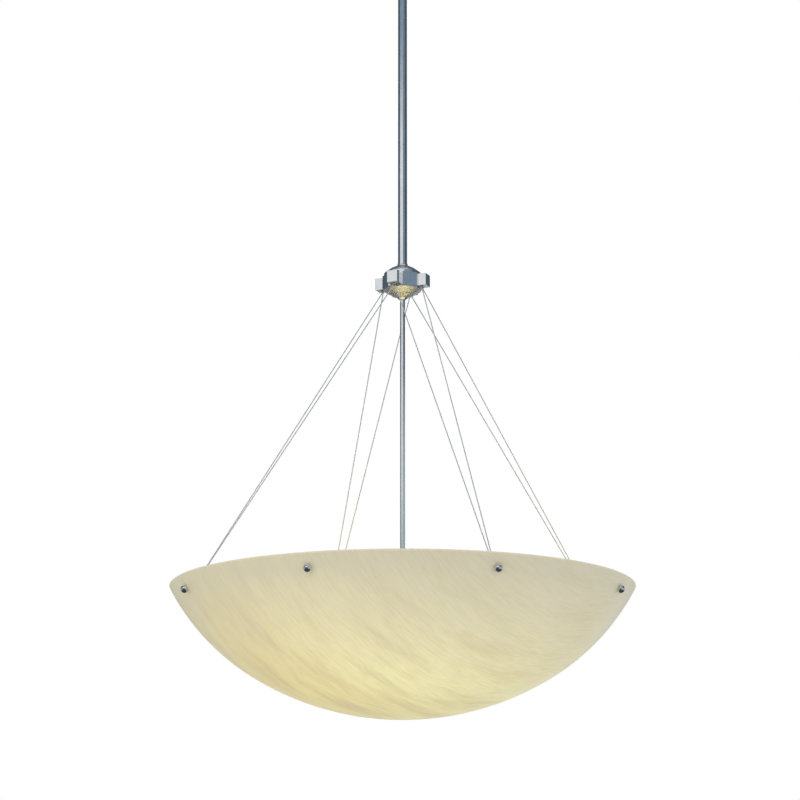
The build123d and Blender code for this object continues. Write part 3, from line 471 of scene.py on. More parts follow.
def closed_outwards(piece):
    """Merges a closed shell's doubled points and turns its faces outwards."""
    bm = bmesh.new()
    bm.from_mesh(piece.data)
    bmesh.ops.remove_doubles(bm, verts=bm.verts, dist=1e-6)
    bmesh.ops.recalc_face_normals(bm, faces=bm.faces)
    bm.to_mesh(piece.data)
    bm.free()
    return piece


# %% [markdown]
# ## Ring of copies
# A tree copies a piece made at the front round the middle line, so that each shape is drawn once.

# %% Ring of copies
def ring_tree():
    tree, given = new_tree("ring_of_copies", Int=["Count"], Float=["First Azimuth"])
    points = add(tree, "GeometryNodeMeshLine", {"Count": given["Count"], "Offset": (0, 0, 0)})
    step = add(tree, "ShaderNodeMath", {0: 2 * pi, 1: given["Count"]}, operation="DIVIDE")
    number = add(tree, "GeometryNodeInputIndex")
    turn = add(tree, "ShaderNodeMath", {0: number, 1: step, 2: given["First Azimuth"]},
               operation="MULTIPLY_ADD")
    turn = add(tree, "ShaderNodeCombineXYZ", {2: turn})
    turn = add(tree, "FunctionNodeEulerToRotation", {0: turn})
    copies = add(tree, "GeometryNodeInstanceOnPoints", {
        "Points": points, "Instance": given["Geometry"], "Rotation": turn})
    solid = add(tree, "GeometryNodeRealizeInstances", {"Geometry": copies})
    return end_tree(tree, solid, given)


ring_of_copies = ring_tree()
print("ring tree with", len(ring_of_copies.nodes), "nodes")


def ring(piece, count, first_azimuth, material):
    """Copies a piece made at the front round the middle line, and takes its place."""
    name, mesh = piece.name, piece.data
    bpy.data.objects.remove(piece)
    return weighted(grow(name, ring_of_copies, mesh, **{
        "Count": count, "First Azimuth": first_azimuth, "Material": material}))


# %% [markdown]
# ## Milled pieces and bodies
# `eased` rounds the sharp edges of a milled part whose CAD shape is right. Every finished piece is hung on
# the body that carries it, so that it moves with the joints.

# %% Milled pieces and bodies
def eased(name, node, width, material, segments=2):
    """A clean copy of a CAD node's mesh, with its sharp edges rounded."""
    bm = bmesh.new()
    bm.from_mesh(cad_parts[node].data)
    bmesh.ops.remove_doubles(bm, verts=bm.verts, dist=1e-6)
    bmesh.ops.dissolve_limit(bm, angle_limit=radians(0.5), verts=bm.verts, edges=bm.edges)
    bm.verts.index_update()
    corners = [tuple(vert.co) for vert in bm.verts]
    faces = [[vert.index for vert in face.verts] for face in bm.faces]
    bm.free()
    mesh = bpy.data.meshes.new(name)
    mesh.from_pydata(corners, [], faces)
    mesh.shade_smooth()
    piece = linked(name, mesh, material)
    bevel = piece.modifiers.new("eased edges", "BEVEL")
    bevel.width = width
    bevel.segments = segments
    bevel.angle_limit = radians(30)
    return weighted(piece)


def dress(material, *nodes):
    """Gives CAD nodes, whose shape is right, their finish."""
    for node in nodes:
        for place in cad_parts[node].material_slots:
            place.material = material


def carried_by(piece, body, slot, *nodes):
    """Hangs a finished piece on its body and lets it stand for CAD nodes."""
    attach(piece, body)
    if nodes:
        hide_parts(*nodes)
    return piece


def lathe_work(name, section, ease, material, slot, *nodes, body="pendant", steps=3, copies=None, **shape):
    """A turned piece, its corners eased by so many millimetres, on its body.
    copies is how many there are and the first one's azimuth."""
    if ease:
        section = rounded(section, ease * MM, steps)
    piece = turned(name, section, material, **shape)
    if copies:
        piece = ring(piece, *copies, material)
    return carried_by(piece, body, slot, *nodes)


def bench_work(name, node, ease, material, slot, body="pendant", segments=2):
    """A CAD node's own shape, its edges eased by so many millimetres, on its body."""
    return carried_by(eased(name, node, ease * MM, material, segments), body, slot, node)


# %% [markdown]
# ## Satin nickel
# Nickel plate over brass or steel, brushed to a satin, reads as an almost neutral grey under white light.
# The brush leaves fine lines, so the gloss changes across them and hardly along them. On turned parts the
# lines run round the axis, and tubes and blocks are brushed straight. The underside of the hub is blasted
# matt instead. Real lines are about 0.05 mm apart, far too fine for a picture, so they are drawn 1 mm apart
# and weaker.

# %% Satin nickel
BRUSH_LINE = 1.0 * MM


def satin_nickel(name, grain, smooth=0.13, rough=0.24):
    """grain is the length of a brushed line along x, y and z, in metres, or "round" for lathe work.
    smooth and rough are the least and the most roughness."""
    material, tree = new_material(name)
    where = add(tree, "ShaderNodeTexCoord").outputs["Object"]
    if grain == "round":
        parts = add(tree, "ShaderNodeSeparateXYZ", {0: where})
        flat = add(tree, "ShaderNodeCombineXYZ", {0: parts, 1: parts.outputs[1]})
        reach = add(tree, "ShaderNodeVectorMath", {0: flat}, operation="LENGTH")
        where = add(tree, "ShaderNodeCombineXYZ", {0: reach.outputs["Value"], 2: parts.outputs[2]})
        grain = (BRUSH_LINE,) * 3
    lined = add(tree, "ShaderNodeMapping", {"Vector": where, "Scale": tuple(1 / x for x in grain)})
    lines = add(tree, "ShaderNodeTexNoise", {"Vector": lined, "Scale": 1.0, "Detail": 3.0})
    cloud = add(tree, "ShaderNodeTexNoise", {"Vector": where, "Scale": 14.0, "Detail": 2.0})
    gloss = add(tree, "ShaderNodeMapRange", {"Value": lines, 1: 0.3, 2: 0.7, 3: smooth, 4: rough})
    tint = add(tree, "ShaderNodeValToRGB", {"Fac": cloud}, [(0.35, "#CFD3D7"), (0.65, "#DADDE0")])
    bump = add(tree, "ShaderNodeBump", {"Height": lines, "Strength": 0.06, "Distance": 0.0002})
    shade(tree, {"Base Color": tint, "Roughness": gloss, "Normal": bump, "Metallic": 1.0})
    return material


turned_nickel = satin_nickel("satin_nickel_turned", "round")
drawn_nickel = satin_nickel("satin_nickel_drawn", (BRUSH_LINE, BRUSH_LINE, 0.2))
milled_nickel = satin_nickel("satin_nickel_milled", (0.05, 0.05, BRUSH_LINE))
blasted_nickel = satin_nickel("satin_nickel_blasted", "round", 0.4, 0.5)
print("four finishes of nickel")

# %% [markdown]
# ## Cast acrylic alabaster
# The bowl is acrylic, cast with mineral-like veins. The sheet is slumped over a mould, so the veins lie in
# parallel leaning planes, which cut the wall steeply at the left of the picture and nearly level at the
# right. The pattern is therefore laid in a frame of its own, with axes along the veins, across them and
# through the planes. Across the veins the sheet changes from cool cream to honey, in soft bands about 45 mm
# wide, with fine streaks 5 mm wide and 55 mm long. Towards the rim a painted shade greys the colour, where
# less of the lamps' light from inside reaches the wall. Acrylic has an IOR of 1.49, and its cast satin
# surface a roughness of about 0.4. Light enters the wall and spreads by about a wall's thickness, so the
# shader has some subsurface scattering.

# %% Cast acrylic alabaster
VEIN_AZIMUTH = radians(54.5)
VEIN_LEAN = 0.33
STREAK_WIDTH = 5 * MM
STREAK_LENGTH = 55 * MM
BAND_WIDTH = 45 * MM
BAND_LENGTH = 260 * MM
CLOUD_SIZE = 220 * MM
DRIFT = 14 * MM
SHEET_HALF_WIDTH = 650 * MM
BAND_SHARE = 0.45
# The height below the rim over which the painted rim shade comes in.
RIM_SHADE_BAND = 280 * MM
SHEET_COLOURS = [(0.05, "#F1ECD0"), (0.25, "#F7F2CB"), (0.42, "#FEF7C9"), (0.6, "#FAEFB7"),
                 (0.8, "#F2E4A8")]
# The rim grey is painted shade, for the wall near the rim that the lamps inside light less.
DULL_CREAM, RIM_SHADE_GREY, VEIN_BROWN = "#CFC7A8", "#D4CFBC", "#CBBE92"

vein_along = Vector((cos(VEIN_AZIMUTH), sin(VEIN_AZIMUTH), 0))
vein_across = Vector((-sin(VEIN_AZIMUTH), cos(VEIN_AZIMUTH), -VEIN_LEAN)).normalized()
vein_frame = Matrix((vein_along, vein_across, vein_along.cross(vein_across)))


# %% Alabaster pattern
def alabaster_acrylic():
    material, tree = new_material("alabaster_acrylic_cast")
    where = add(tree, "ShaderNodeTexCoord").outputs["Object"]
    where = add(tree, "ShaderNodeVectorMath", {0: where, 1: (0, 0, rim_z)}, operation="SUBTRACT")
    drift = add(tree, "ShaderNodeTexNoise", {"Vector": where, "Scale": 1 / CLOUD_SIZE, "Detail": 3.0})
    drift = add(tree, "ShaderNodeVectorMath", {0: drift.outputs["Color"], 1: (0.5, 0.5, 0.5)},
                operation="SUBTRACT")
    drift = add(tree, "ShaderNodeVectorMath", {0: drift, "Scale": 2 * DRIFT}, operation="SCALE")
    bent = add(tree, "ShaderNodeVectorMath", {0: where, 1: drift})
    laid = add(tree, "ShaderNodeMapping", {"Vector": bent, "Rotation": vein_frame.to_euler()})

    patterns = []
    for width, length, detail, roughness in ((STREAK_WIDTH, STREAK_LENGTH, 5.0, 0.65),
                                             (BAND_WIDTH, BAND_LENGTH, 4.0, 0.55)):
        drawn_out = add(tree, "ShaderNodeVectorMath", {
            0: laid, 1: (1 / length, 1 / width, 1 / length)}, operation="MULTIPLY")
        patterns.append(add(tree, "ShaderNodeTexNoise", {
            "Vector": drawn_out, "Scale": 1.0, "Detail": detail, "Roughness": roughness}))
    streaks, bands = patterns

    across = add(tree, "ShaderNodeSeparateXYZ", {0: laid})
    across = add(tree, "ShaderNodeMapRange", {
        "Value": across.outputs[1], 1: -SHEET_HALF_WIDTH, 2: SHEET_HALF_WIDTH})
    swing = add(tree, "ShaderNodeMath", {0: bands, 1: 0.5}, operation="SUBTRACT")
    shift = add(tree, "ShaderNodeMath", {0: swing, 1: BAND_SHARE, 2: across}, operation="MULTIPLY_ADD")
    colour = add(tree, "ShaderNodeValToRGB", {"Fac": shift}, SHEET_COLOURS)
    height = add(tree, "ShaderNodeSeparateXYZ", {0: where}).outputs[2]
    # Each tint comes in as a value rises from low to high, up to its share. The rim grey is painted shade: it
    # rises towards the rim, where less lamp light from inside reaches the wall.
    for value, low, high, share, tint in ((bands, 0.45, 0.75, 0.4, DULL_CREAM),
                                          (height, -RIM_SHADE_BAND, 0.0, 0.85, RIM_SHADE_GREY),
                                          (streaks, 0.4, 0.75, 0.34, VEIN_BROWN)):
        amount = add(tree, "ShaderNodeMapRange", {"Value": value, 1: low, 2: high, 3: 0.0, 4: share})
        colour = add(tree, "ShaderNodeMix", {0: amount, 6: colour, 7: linear(tint)},
                     data_type="RGBA").outputs[2]
    bump = add(tree, "ShaderNodeBump", {"Height": streaks, "Strength": 0.05, "Distance": 0.0005})
    shade(tree, {"Base Color": colour, "Normal": bump, "Roughness": 0.38, "IOR": 1.49,
                 "Subsurface Weight": 0.6, "Subsurface Radius": (1.0, 0.95, 0.75),
                 "Subsurface Scale": BOWL_WALL})
    return material


acrylic = alabaster_acrylic()
print("acrylic with streaks of", STREAK_WIDTH, "m")

# %% [markdown]
# ## The bowl
# The wall is a rule, not a drawing: its radius and height follow from the slope angle. A Geometry Nodes
# tree lays a grid of slope by azimuth, swings a spoke from the arc's centre by the slope, and turns its end
# by the azimuth. Solidify then gives the sheet its wall, inwards, and a small bevel rounds the rim.

# %% Bowl tree
def bowl_tree():
    lengths = ["Crown Radius", "Crown Angle", "Edge Angle", "Shoulder Radius", "Crown Height"]
    tree, given = new_tree("bowl_by_slope", Float=lengths, Vector=["Shoulder Place"],
                           Int=["Steps Out", "Steps Round"])
    grid = add(tree, "GeometryNodeMeshGrid", {
        "Size X": 1.0, "Size Y": 1.0, "Vertices X": given["Steps Out"],
        "Vertices Y": given["Steps Round"]})
    cell = add(tree, "ShaderNodeSeparateXYZ", {0: add(tree, "GeometryNodeInputPosition")})
    slope = add(tree, "ShaderNodeMapRange", {"Value": cell, 1: -0.5, 2: 0.5, 4: given["Edge Angle"]})
    azimuth = add(tree, "ShaderNodeMapRange", {"Value": cell.outputs[1], 1: -0.5, 2: 0.5, 4: 2 * pi})
    on_crown = add(tree, "ShaderNodeMath", {0: slope, 1: given["Crown Angle"]}, operation="LESS_THAN")
    radius = add(tree, "ShaderNodeMix", {0: on_crown, 2: given["Shoulder Radius"], 3: given["Crown Radius"]})
    crown = add(tree, "ShaderNodeCombineXYZ", {2: given["Crown Height"]})
    centre = add(tree, "ShaderNodeMix", {
        0: on_crown, 4: given["Shoulder Place"], 5: crown}, data_type="VECTOR")
    down = add(tree, "ShaderNodeMath", {0: radius, 1: -1.0}, operation="MULTIPLY")
    down = add(tree, "ShaderNodeCombineXYZ", {2: down})
    spoke = add(tree, "ShaderNodeVectorRotate", {"Vector": down, "Angle": slope},
                rotation_type="Y_AXIS", invert=True)
    section = add(tree, "ShaderNodeVectorMath", {0: centre.outputs[1], 1: spoke})
    place = add(tree, "ShaderNodeVectorRotate", {"Vector": section, "Angle": azimuth}, rotation_type="Z_AXIS")
    wall = add(tree, "GeometryNodeSetPosition", {"Geometry": grid, "Position": place})
    wall = add(tree, "GeometryNodeMergeByDistance", {"Geometry": wall, "Distance": 0.00001})
    wall = add(tree, "GeometryNodeSetShadeSmooth", {"Geometry": wall})
    return end_tree(tree, wall, given)


# %% Bowl
STEPS_OUT = 65
STEPS_ROUND = 257
RIM_ROUND = 1.5 * MM

bowl = grow("alabaster_bowl", bowl_tree(), **{
    "Crown Radius": BOWL_CROWN_RADIUS, "Crown Angle": BOWL_CROWN_ANGLE, "Edge Angle": BOWL_EDGE_ANGLE,
    "Shoulder Radius": shoulder_radius, "Shoulder Place": (shoulder_r, 0, shoulder_z),
    "Crown Height": crown_z, "Steps Out": STEPS_OUT, "Steps Round": STEPS_ROUND, "Material": acrylic})
outside = bmesh.new()
outside.from_mesh(bowl.data)
bmesh.ops.recalc_face_normals(outside, faces=outside.faces)
lowest = min(outside.faces, key=lambda face: face.calc_center_median().z)
if lowest.normal.z > 0:
    bmesh.ops.reverse_faces(outside, faces=outside.faces)
outside.to_mesh(bowl.data)
outside.free()
wall = bowl.modifiers.new("wall", "SOLIDIFY")
wall.thickness = BOWL_WALL
wall.offset = -1
wall.use_even_offset = True
edge = bowl.modifiers.new("rim edge", "BEVEL")
edge.width = RIM_ROUND
edge.segments = 3
edge.angle_limit = radians(50)
weighted(bowl)
carried_by(bowl, "pendant", "alabaster_acrylic", "bowl")
print("bowl with", len(bowl.data.polygons), "faces")

# %% [markdown]
# ## Other finishes
# The small parts have plain shop finishes. Each is a grain of one real size that varies a colour, the gloss
# and a slight relief, such as the orange peel of powder coat or the crystals of zinc plate.

# %% Other finishes
def grained(name, grain, colours, gloss, relief, **fixed):
    """A finish with one grain, its size in millimetres. fixed holds values that are the same all over."""
    material, tree = new_material(name)
    where = add(tree, "ShaderNodeTexCoord").outputs["Object"]
    noise = add(tree, "ShaderNodeTexNoise", {"Vector": where, "Scale": 1 / (grain * MM), "Detail": 3.0})
    tint = add(tree, "ShaderNodeValToRGB", {"Fac": noise}, list(zip((0.35, 0.65), colours)))
    shine = add(tree, "ShaderNodeMapRange", {"Value": noise, 1: 0.3, 2: 0.7, 3: gloss[0], 4: gloss[1]})
    bump = add(tree, "ShaderNodeBump", {"Height": noise, "Strength": 0.3, "Distance": relief})
    fixed = {socket.replace("_", " "): value for socket, value in fixed.items()}
    shade(tree, {"Base Color": tint, "Roughness": shine, "Normal": bump, **fixed})
    return material


polished_nickel = grained("polished_nickel_plate", 20, ("#D2D4D6", "#DBDCDD"), (0.06, 0.1), 0.00002,
                          Metallic=1.0)
rope_steel = grained("stainless_wire_rope", 3, ("#C9D0D6", "#DADFE4"), (0.62, 0.75), 0.0001, Metallic=0.5)
zinc_plate = grained("zinc_plated_steel", 2, ("#A6A8A5", "#BDBEBA"), (0.3, 0.48), 0.00005, Metallic=1.0)
powder_coat = grained("off_white_powder_coat", 1.2, ("#DAD6C8", "#E1DDD0"), (0.45, 0.55), 0.0001, IOR=1.5)
green_passivate = grained("green_passivated_steel", 1.5, ("#2F6B3B", "#3C7E49"), (0.3, 0.45), 0.00005,
                          Metallic=0.6)
rubber = grained("moulded_rubber", 0.6, ("#242423", "#2E2E2C"), (0.65, 0.8), 0.0001, IOR=1.52)
nylon = grained("moulded_nylon", 0.8, ("#E3E0D6", "#EBE8DF"), (0.42, 0.55), 0.00005, IOR=1.53)
porcelain = grained("glazed_porcelain", 8, ("#ECEAE3", "#F3F1EB"), (0.1, 0.16), 0.0002, IOR=1.52)
black_glass = grained("black_glass", 6, ("#141416", "#1B1B1E"), (0.08, 0.15), 0.0001, IOR=1.52)
solder = grained("tin_solder", 1.5, ("#AEB0B0", "#C2C3C2"), (0.25, 0.4), 0.0002, Metallic=1.0)
frosted_glass = grained("frosted_lamp_glass", 0.5, ("#F4F1EA", "#F8F6F0"), (0.34, 0.42), 0.00002, IOR=1.52,
                        Emission_Color=linear("#FFE3BC"), Emission_Strength=0.35)
print("finishes:", len(bpy.data.materials), "materials")

# %% [markdown]
# ## Wire ropes
# Eight stainless ropes, 3.2 mm thick, carry the bowl. They start from a swaged stop inside a block, come
# out of the gland below it two by two, and run straight to a lug at the rim. The route is one NURBS spline
# through the corner points of the CAD route. A wire rope is strands laid round a core, so a Geometry Nodes
# tree sweeps a bundle of seven circles along the route and turns it once in every lay length.

# %% Rope places
ROPE_DIAMETER = 3.2 * MM
ROPE_LAY = 21 * MM
ROPE_TAIL = 12 * MM
EXIT_OUT = 7.6 * MM
ANCHOR_INSET = 50.3 * MM
ANCHOR_DROP = 8.8 * MM
PAIR_SPACING = 4.4 * MM
CORNER_BELOW_GLAND = 2 * MM
BEND_REACH = 9 * MM
STRAIGHT_POINT = 6 * ROPE_DIAMETER
BLOCK_COUNT = 4
FIRST_BLOCK = radians(-22.5)

hub_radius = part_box("hub_base")[1].x
gland_mouth_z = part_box("cable_glands")[0].z
rope_top_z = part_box("upper_cable_stops")[1].z + 3 * MM
exit_radius = hub_radius + EXIT_OUT
anchor_radius = BOWL_RADIUS - ANCHOR_INSET
anchor_z = rim_z - ANCHOR_DROP


def rope_route(block_azimuth, side):
    """Control points of one rope, from its tail at the rim to its end in the block."""
    anchor_azimuth = block_azimuth + side * pi / BLOCK_COUNT
    seat = spot(anchor_azimuth, anchor_radius, anchor_z, -side * PAIR_SPACING / 2)
    corner = spot(block_azimuth, exit_radius, gland_mouth_z - CORNER_BELOW_GLAND, side * PAIR_SPACING / 2)
    run = (corner - seat).normalized()
    return [seat - run * ROPE_TAIL, corner - run * STRAIGHT_POINT, corner,
            corner + Vector((0, 0, BEND_REACH)), Vector((corner.x, corner.y, rope_top_z))]


print("rope from the rim at", round(anchor_z, 4), "to the block at", round(rope_top_z, 4))

# %% Rope tree
def rope_tree():
    tree, given = new_tree("rope_of_seven_strands", Float=["Strand", "Lay", "Step"])
    line = add(tree, "GeometryNodeMeshToCurve", {"Mesh": given["Geometry"]})
    line = add(tree, "GeometryNodeResampleCurve", {"Curve": line, "Length": given["Step"]}, mode="LENGTH")
    travelled = add(tree, "GeometryNodeSplineParameter").outputs["Length"]
    turns = add(tree, "ShaderNodeMath", {0: travelled, 1: given["Lay"]}, operation="DIVIDE")
    twist = add(tree, "ShaderNodeMath", {0: turns, 1: 2 * pi}, operation="MULTIPLY")
    line = add(tree, "GeometryNodeSetCurveTilt", {"Curve": line, "Tilt": twist})
    half = add(tree, "ShaderNodeMath", {0: given["Strand"], 1: 0.5}, operation="MULTIPLY")
    strand = add(tree, "GeometryNodeCurvePrimitiveCircle", {"Resolution": 6, "Radius": half})
    places = add(tree, "GeometryNodeMeshCircle", {"Vertices": 6, "Radius": given["Strand"]})
    outer = add(tree, "GeometryNodeInstanceOnPoints", {"Points": places, "Instance": strand})
    bundle = add(tree, "GeometryNodeJoinGeometry", {0: outer})
    tree.links.new(strand.outputs[0], bundle.inputs[0])
    bundle = add(tree, "GeometryNodeRealizeInstances", {"Geometry": bundle})
    rope = add(tree, "GeometryNodeCurveToMesh", {"Curve": line, "Profile Curve": bundle, "Fill Caps": True})
    return end_tree(tree, rope, given)


# %% Ropes
ROPE_STEP = ROPE_LAY / 10

strands = rope_tree()
number = 0
for block in range(BLOCK_COUNT):
    block_azimuth = FIRST_BLOCK + block * 2 * pi / BLOCK_COUNT
    for side in (-1, 1):
        number += 1
        route = rope_route(block_azimuth, side)
        line = curve_mesh(f"rope_route_{number}", "NURBS", route, resolution_u=24)
        rope = grow(f"wire_rope_{number}", strands, line, **{
            "Strand": ROPE_DIAMETER / 3, "Lay": ROPE_LAY, "Step": ROPE_STEP, "Material": rope_steel})
        closed_outwards(rope)
        rope.data.shade_smooth()
        carried_by(rope, "pendant", "steel_rope", f"cable_{number}")
print(number, "ropes of", len(rope.data.polygons), "faces")

# %% [markdown]
# ## Hub
# The hub is an octagonal box between a turned top, in one piece with the collar that holds the stem, and a
# turned base, which steps down to the nose nut. The octagon and the four blocks keep their CAD shapes, and
# only get the small rounds that a file leaves.

# %% Hub
hub_deck_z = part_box("hub_body")[1].z
hub_bottom_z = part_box("hub_body")[0].z
nose_top_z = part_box("nose_nut")[1].z

bench_work("octagon_box", "hub_body", 0.5, milled_nickel, "satin_nickel")

hub_top_section = in_mm(
    (9.55, 0), (50.8, 0), (50.8, 6.5), (34, 19.5), (19, 27), (17.3, 27.2), (15.7, 28), (14.6, 29.3), (14, 31),
    (14, 34.5), (12.55, 34.5), (12.55, 12.5), (9.55, 12.5), (9.55, 0))
lathe_work("turned_hub_top", raised(hub_top_section, hub_deck_z), 0.6, turned_nickel, "satin_nickel",
           "hub_top")

hub_base_section = in_mm(
    (9.55, -23), (15.2, -23), (29.2, -16.4), (31, -16.4), (31, -14.6), (50.8, -3.6), (50.8, 0), (45.8, 0),
    (45.8, -0.6), (28, -11.6), (15.2, -20), (9.55, -20), (9.55, -23))
lathe_work("turned_hub_base", raised(hub_base_section, hub_bottom_z), 0.5, blasted_nickel,
           "satin_nickel", "hub_base")

nose_section = in_mm(
    (6.9, -6.5), (8.85, -6.5), (14.6, -1), (14.6, 0), (9.55, 0), (9.55, -4), (6.9, -4), (6.9, -6.5))
lathe_work("nose_nut_turned", raised(nose_section, nose_top_z), 0.4, turned_nickel, "satin_nickel",
           "nose_nut")
print("hub", round(2 * hub_radius, 4), "m across")

# %% [markdown]
# ## Cable blocks and glands
# Each block is a milled bar end screwed on from inside. The gland below it is a small turned bush with a
# belled mouth, so that the ropes bend over a round and not over an edge.

# %% Cable blocks and glands
for number in range(1, BLOCK_COUNT + 1):
    bench_work(f"milled_block_{number}", f"cable_block_{number}", 0.6, milled_nickel, "satin_nickel",
               segments=3)

gland_section = in_mm(
    (5.6, 0), (6.5, 0), (6.5, 3), (5.5, 3), (5.5, 11), (4.1, 11), (4.1, 4.5), (4.25, 3), (4.7, 1.4), (5.6, 0))
gland_place = Matrix.Translation(spot(0, exit_radius, gland_mouth_z))
lathe_work("belled_glands", gland_section, 0.3, polished_nickel, "polished_nickel", "cable_glands",
           segments=48, place=gland_place, copies=(BLOCK_COUNT, FIRST_BLOCK))
dress(zinc_plate, "upper_cable_stops", "block_screws", "hub_nipple", "hub_lock_nut")
print(BLOCK_COUNT, "blocks")

# %% [markdown]
# ## Stems
# Both stems are drawn tubes, brushed along their length. Their ends are cut square and deburred, and they
# are open, since the lamp's wires run inside.

# %% Stems
STEMS = [("drawn_upper_stem", "upper_stem", 12.5 * MM, 10.5 * MM),
         ("drawn_lower_stem", "lower_stem", 6.85 * MM, 4.6 * MM)]

for name, node, radius, bore in STEMS:
    low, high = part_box(node)
    section = [(bore, low.z), (radius, low.z), (radius, high.z), (bore, high.z), (bore, low.z)]
    lathe_work(name, section, 0.4, drawn_nickel, "satin_nickel", node)
print("stems done")

# %% [markdown]
# ## Rim fittings
# Eight screws go through a flat steel ring inside the bowl and through its wall, and end in polished ball
# nuts outside, each on a nylon washer. Every station is alike, so each fitting is made once on the
# station's own plane, square to the wall, and a tree copies it round.

# %% Rim fittings
BALL_RADIUS = 10.5 * MM
BALL_SEAT = 9.3 * MM
WASHER_THICKNESS = 1 * MM

station_r, station_z = bowl_point(station_angle)
square_out = outward(0) * sin(station_angle) - Vector((0, 0, cos(station_angle)))
station_place = facing(spot(0, station_r, station_z), square_out, sideways(0))

ball_middle = sqrt(BALL_RADIUS**2 - BALL_SEAT**2)
seat_angle = atan2(-ball_middle, BALL_SEAT)
ball_section = [(0, WASHER_THICKNESS), (BALL_SEAT - 0.4 * MM, WASHER_THICKNESS)]
ball_section += arc(BALL_RADIUS, WASHER_THICKNESS + ball_middle, seat_angle, pi / 2, 40)
at_stations = {"segments": 48, "place": station_place, "copies": (STATION_COUNT, FIRST_STATION)}
lathe_work("polished_ball_nuts", ball_section, 0, polished_nickel, "polished_nickel", "ball_nuts",
           **at_stations)

lathe_work("nylon_washers", in_mm((3.05, 0), (8.5, 0), (8.5, 1), (3.05, 1), (3.05, 0)), 0.25, nylon,
           "nylon_washer", "nut_washers", **at_stations)

screw_section = in_mm(
    (0, 11), (2.4, 11), (3, 10.4), (3, -17.3), (5.5, -17.3), (5.5, -20.8), (5.0, -21.3), (2.5, -21.3),
    (2.5, -19), (0, -18.6))
lathe_work("socket_head_rim_screws", screw_section, 0.25, zinc_plate, "zinc_plated_steel", "rim_screws",
           steps=2, **at_stations)

spacer_section = in_mm((3.05, -17.3), (9, -17.3), (9, -13.3), (3.05, -13.3), (3.05, -17.3))
at_stations["copies"] = (BLOCK_COUNT, FIRST_STATION + pi / 4)
lathe_work("turned_ring_spacers", spacer_section, 0.4, zinc_plate, "zinc_plated_steel", "ring_spacers",
           **at_stations)
dress(rubber, "wall_bushes")
print(STATION_COUNT, "rim stations")

# %% [markdown]
# ## Rim ring and cable lugs
# The flat ring stiffens the wall and spreads the pull of the ropes. It follows the slope of the wall, so it
# is a short cone. Both are powder coated off-white, so that they don't show through the bowl. Each lug
# hooks over the ring, and a swaged stop under its arm holds the ends of two ropes.

# %% Rim ring and cable lugs
RING_FACE = 9.1 * MM
RING_BACK = 13.1 * MM
RING_HALF = 16 * MM


def rim_point(along, inset):
    """Section point beside a rim screw: up the wall by along, behind it by inset."""
    r, z = bowl_point(station_angle, inset)
    return r + along * cos(station_angle), z + along * sin(station_angle)


ring_section = [rim_point(-RING_HALF, RING_FACE), rim_point(RING_HALF, RING_FACE),
                rim_point(RING_HALF, RING_BACK), rim_point(-RING_HALF, RING_BACK)]
lathe_work("coated_rim_ring", ring_section + ring_section[:1], 0.8, powder_coat, "painted_ring_steel",
           "rim_ring", segments=192)
bench_work("coated_cable_lugs", "cable_lugs", 0.7, powder_coat, "painted_ring_steel")
bench_work("swaged_rope_stops", "lower_cable_stops", 0.5, zinc_plate, "zinc_plated_steel")
print("ring and lugs done")

# %% [markdown]
# ## Lamp cluster
# The lower stem ends in a hexagonal pan in the bowl. Six bent arms leave it, level at first and then 25
# degrees up, and carry glazed porcelain sockets. The cover under the pan is held by a turned finial.

# %% Cluster pan, cap and cover
bench_work("folded_cluster_pan", "cluster_pan", 0.8, milled_nickel, "satin_nickel")
bench_work("cluster_cover_plate", "cluster_cover", 0.6, milled_nickel, "satin_nickel")

cap_section = in_mm((6.9, 0), (18, 0), (18, 3), (9.9, 14), (6.9, 14), (6.9, 0))
pan_top_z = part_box("cluster_pan")[1].z
lathe_work("turned_cluster_cap", raised(cap_section, pan_top_z), 0.6, turned_nickel, "satin_nickel",
           "cluster_cap")

finial_section = in_mm(
    *arc(7, -11, -pi / 2, radians(50), 24), (5.6, -3.6), (7.4, -1.8), (9, -0.8), (9, 0), (0, 0))
cover_low_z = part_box("cluster_cover")[0].z
lathe_work("turned_finial", raised(finial_section, cover_low_z), 0.3, polished_nickel, "polished_nickel",
           "finial_nut", segments=64)
dress(zinc_plate, "cluster_lock_nut", "cover_stud", "lamp_arm_nuts")
print("cluster done")

# %% Lamp arms
LAMP_COUNT = 6
LAMP_RISE = radians(25)
PAN_SIDE = 55 * MM
ARM_RADIUS = 5 * MM
ARM_BEND_RADIUS = 30 * MM
ARM_BEND_AT = 97 * MM
ARM_RISING_RUN = 40 * MM
ARM_IN_PAN = 10 * MM

arm_z = (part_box("cluster_pan")[0].z + pan_top_z) / 2
lamp_direction = outward(0) * cos(LAMP_RISE) + Vector((0, 0, sin(LAMP_RISE)))
arm_end = spot(0, ARM_BEND_AT, arm_z) + lamp_direction * ARM_RISING_RUN

bend_start = ARM_BEND_AT - ARM_BEND_RADIUS * tan(LAMP_RISE / 2)
bend = arc(ARM_BEND_RADIUS, arm_z + ARM_BEND_RADIUS, -pi / 2, LAMP_RISE - pi / 2, 8, bend_start)
arm_line = [spot(0, PAN_SIDE - ARM_IN_PAN, arm_z), *(spot(0, r, z) for r, z in bend), arm_end]

arm = linked("bent_lamp_arms", curve_mesh("arm_line", "POLY", arm_line, bevel_depth=ARM_RADIUS,
                                          bevel_resolution=8, use_fill_caps=True))
closed_outwards(arm)
arm.data.shade_smooth()
carried_by(ring(arm, LAMP_COUNT, 0.0, drawn_nickel), "pendant", "satin_nickel", "lamp_arms")

collar_section = in_mm((4.9, 0), (8, 0), (8, 3), (4.9, 3), (4.9, 0))
collar_place = facing(spot(0, PAN_SIDE, arm_z), outward(0), sideways(0))
lathe_work("arm_collars", collar_section, 0.5, polished_nickel, "satin_nickel", segments=48,
           place=collar_place, copies=(LAMP_COUNT, 0.0))
print(LAMP_COUNT, "arms")

# %% Sockets
SOCKET_GRIP = 10 * MM

